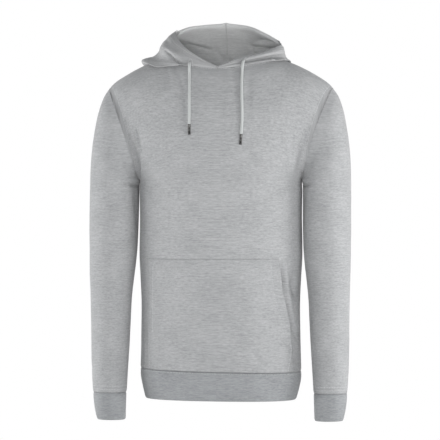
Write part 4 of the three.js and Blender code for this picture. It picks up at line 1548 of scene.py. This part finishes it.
@dataclass
class Drawcord:
    """A free drawcord with its metal tip.

    Attributes:
        hand: Which side it hangs on.
        route: Points from the stitched hole to the tip, in millimetres.
        length: Its free length in metres; not used.
    """

    hand: Hand
    route: Sequence[Point]
    length: float

    def build(self) -> bpy.types.Object:
        """Make the tip and the cord.

        Returns:
            The cord.
        """
        label = self.hand.name.lower()
        tip = self.build_tip(label)
        curve = bpy.data.curves.new(f"cord_{label}_braid", "CURVE")
        curve.dimensions = "3D"
        curve.bevel_depth = CORD_DIAMETER / 2 * MM
        curve.bevel_resolution = 5
        curve.resolution_u = 8
        curve.use_fill_caps = True
        spline = curve.splines.new("BEZIER")
        spline.bezier_points.add(CORD_KNOTS - 1)
        for knot, place in zip(spline.bezier_points, self.smooth_route()):
            knot.co = Vector(place) * MM
            knot.handle_left_type = "AUTO"
            knot.handle_right_type = "AUTO"
        curve.materials.append(CORD_BRAID.material())
        cord = bpy.data.objects.new(f"cord_{label}_braid", curve)
        bpy.context.scene.collection.objects.link(cord)
        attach(cord, BODY)
        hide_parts(f"cord_{label}")
        return cord

    def smooth_route(self) -> list[Vector]:
        """Work out points along one smooth curve through the route.

        Returns:
            The points in millimetres.
        """
        rows = [(number, *place) for number, place in enumerate(self.route)]
        step = (len(self.route) - 1) / (CORD_KNOTS - 1)
        return [Vector([smooth_value(rows, number * step, column) for column in (1, 2, 3)])
                for number in range(CORD_KNOTS)]

    def build_tip(self, label: str) -> bpy.types.Object:
        """Make the metal tip: a tube with a rolled lip at both ends and a crimp.

        Args:
            label: left or right.

        Returns:
            The tip.
        """
        way = (Vector(self.route[-1]) - Vector(self.route[-2])).normalized()
        start = Vector(self.route[-1]) + way * SEAM_GAP
        mesh = bmesh.new()
        ring = [mesh.verts.new((radius, 0, along)) for radius, along in TIP_PROFILE]
        edges = [mesh.edges.new(pair) for pair in zip(ring, ring[1:])]
        bmesh.ops.spin(mesh, geom=ring + edges, cent=(0, 0, 0), axis=(0, 0, 1), angle=math.tau, steps=32,
                       use_merge=True)
        bmesh.ops.remove_doubles(mesh, verts=mesh.verts, dist=1e-4)
        bmesh.ops.recalc_face_normals(mesh, faces=mesh.faces)
        turn = Vector((0, 0, 1)).rotation_difference(way).to_matrix().to_4x4()
        bmesh.ops.transform(mesh, matrix=Matrix.Translation(start) @ turn, verts=mesh.verts)
        tip = dressed_piece(mesh, f"tip_{label}", TIP_METAL)
        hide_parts(f"aglet_{label}")
        return tip


@dataclass
class Studio:
    """Camera, lights and floor.

    Attributes:
        frame_width: Width that the picture covers at the garment, in metres.
        distance: Camera's distance from the garment's middle.
        azimuth: How far the camera stands towards +X, in degrees.
        elevation: How far it stands above the garment's middle, in degrees.
        middle: The place that it looks at.
        floor_z: Height of the floor.
        floor_size: Half the floor's width.
        softboxes: Name, place, width and power of each light.
    """

    frame_width: float = 0.898
    distance: float = 6.0
    azimuth: float = 5.3
    elevation: float = 1.0
    middle: Point = (-0.002, 0.0, -0.306)
    floor_z: float = -0.95
    floor_size: float = 1.4
    softboxes: Sequence[tuple[str, Point, float, float]] = (
        ("low front softbox", (0.25, -2.2, -0.95), 1.6, 20.5),
        ("high front softbox", (0.1, -3.2, 0.0), 1.0, 17.5),
        ("front right softbox", (2.4, -2.3, -0.8), 1.6, 30.0),
        ("right softbox", (3.0, 0.3, -0.6), 1.8, 59.0),
        ("left softbox", (-3.0, 0.2, -0.6), 1.8, 68.0),
        ("back softbox", (0.6, 3.4, -0.3), 2.0, 40.0),
    )

    def build(self) -> None:
        """Place the camera, the lights and the floor."""
        self.build_camera()
        self.build_lights()
        self.build_surround()
        self.build_floor()
        bpy.context.scene.view_settings.view_transform = "Standard"

    def build_camera(self) -> None:
        """Place a long-lens camera at the photo's angle."""
        lens = bpy.data.cameras.new("camera")
        lens.sensor_width = 36.0
        lens.lens = lens.sensor_width * self.distance / self.frame_width
        camera = bpy.data.objects.new("camera", lens)
        bpy.context.scene.collection.objects.link(camera)
        turn, rise = math.radians(self.azimuth), math.radians(self.elevation)
        way = Vector((math.sin(turn) * math.cos(rise), -math.cos(turn) * math.cos(rise), math.sin(rise)))
        camera.location = Vector(self.middle) + way * self.distance
        camera.rotation_euler = way.to_track_quat("Z", "Y").to_euler()
        bpy.context.scene.camera = camera

    def build_lights(self) -> None:
        """Place the softboxes, all facing the garment's middle."""
        for name, place, size, power in self.softboxes:
            light = bpy.data.lights.new(name, "AREA")
            light.shape = "SQUARE"
            light.size = size
            light.energy = power
            lamp = bpy.data.objects.new(name, light)
            bpy.context.scene.collection.objects.link(lamp)
            lamp.location = place
            aim = Vector(place) - Vector(self.middle)
            lamp.rotation_euler = aim.to_track_quat("Z", "Y").to_euler()

    def build_surround(self) -> None:
        """Surround the garment with pale light, and show the camera plain white."""
        world = bpy.data.worlds.new("surround")
        bpy.context.scene.world = world
        world.use_nodes = True
        tree = world.node_tree
        board = NodeBoard(tree)
        ambient = board.join(tree.nodes["Background"], {"Color": (0.96, 0.98, 1.0, 1), "Strength": 0.36})
        seen = board.add("ShaderNodeBackground", {"Color": (1, 1, 1, 1), "Strength": 1.0})
        is_camera = tree.nodes.new("ShaderNodeLightPath").outputs["Is Camera Ray"]
        blend = board.add("ShaderNodeMixShader", {"Fac": is_camera, 1: ambient.outputs["Background"],
                                                  2: seen.outputs["Background"]})
        board.join(tree.nodes["World Output"], {"Surface": blend.outputs["Shader"]})

    def build_floor(self) -> None:
        """Lay a plain pale floor under the garment."""
        mesh = bmesh.new()
        bmesh.ops.create_grid(mesh, x_segments=1, y_segments=1, size=self.floor_size)
        bmesh.ops.translate(mesh, vec=(0, 0, self.floor_z), verts=mesh.verts)
        material = bpy.data.materials.new("pale floor")
        material.use_nodes = True
        shader = material.node_tree.nodes["Principled BSDF"]
        shader.inputs["Base Color"].default_value = (0.86, 0.86, 0.86, 1)
        shader.inputs["Roughness"].default_value = 0.9
        new_piece(mesh, "floor", material)


def main() -> None:
    """Build the studio and every piece in order, and report each piece."""
    logging.basicConfig(level=logging.INFO, format="%(message)s")
    Studio().build()
    front = BodyPanel(Facing.FRONT, FRONT_DEPTH, FRONT_NECK, FRONT_BOW, FRONT_CREASES + OPENING_SHADOW,
                      columns=176, rows_low=130, rows_high=92)
    makers = [
        Drawcord(Hand.LEFT, CORD_LEFT, 0.136),
        Drawcord(Hand.RIGHT, CORD_RIGHT, 0.162),
        front,
        BodyPanel(Facing.BACK, BACK_DEPTH, BACK_NECK, 0, BACK_CREASES),
        Sleeve(Hand.LEFT, SLEEVE_CREASES_LEFT),
        Cuff(Hand.LEFT),
        Sleeve(Hand.RIGHT, SLEEVE_CREASES_RIGHT),
        Cuff(Hand.RIGHT),
        HemBand(),
        Pocket(front),
        HoodPanel(Hand.LEFT, HOOD_LEFT, CORD_LEFT[1], HOOD_OUTER_LEFT, HOOD_INNER_LEFT),
        HoodPanel(Hand.RIGHT, HOOD_RIGHT, CORD_RIGHT[1], HOOD_OUTER_RIGHT, HOOD_INNER_RIGHT),
    ]
    for maker in makers:
        LOG.info("%s is made", maker.build().name)


if __name__ == "__main__":
    main()
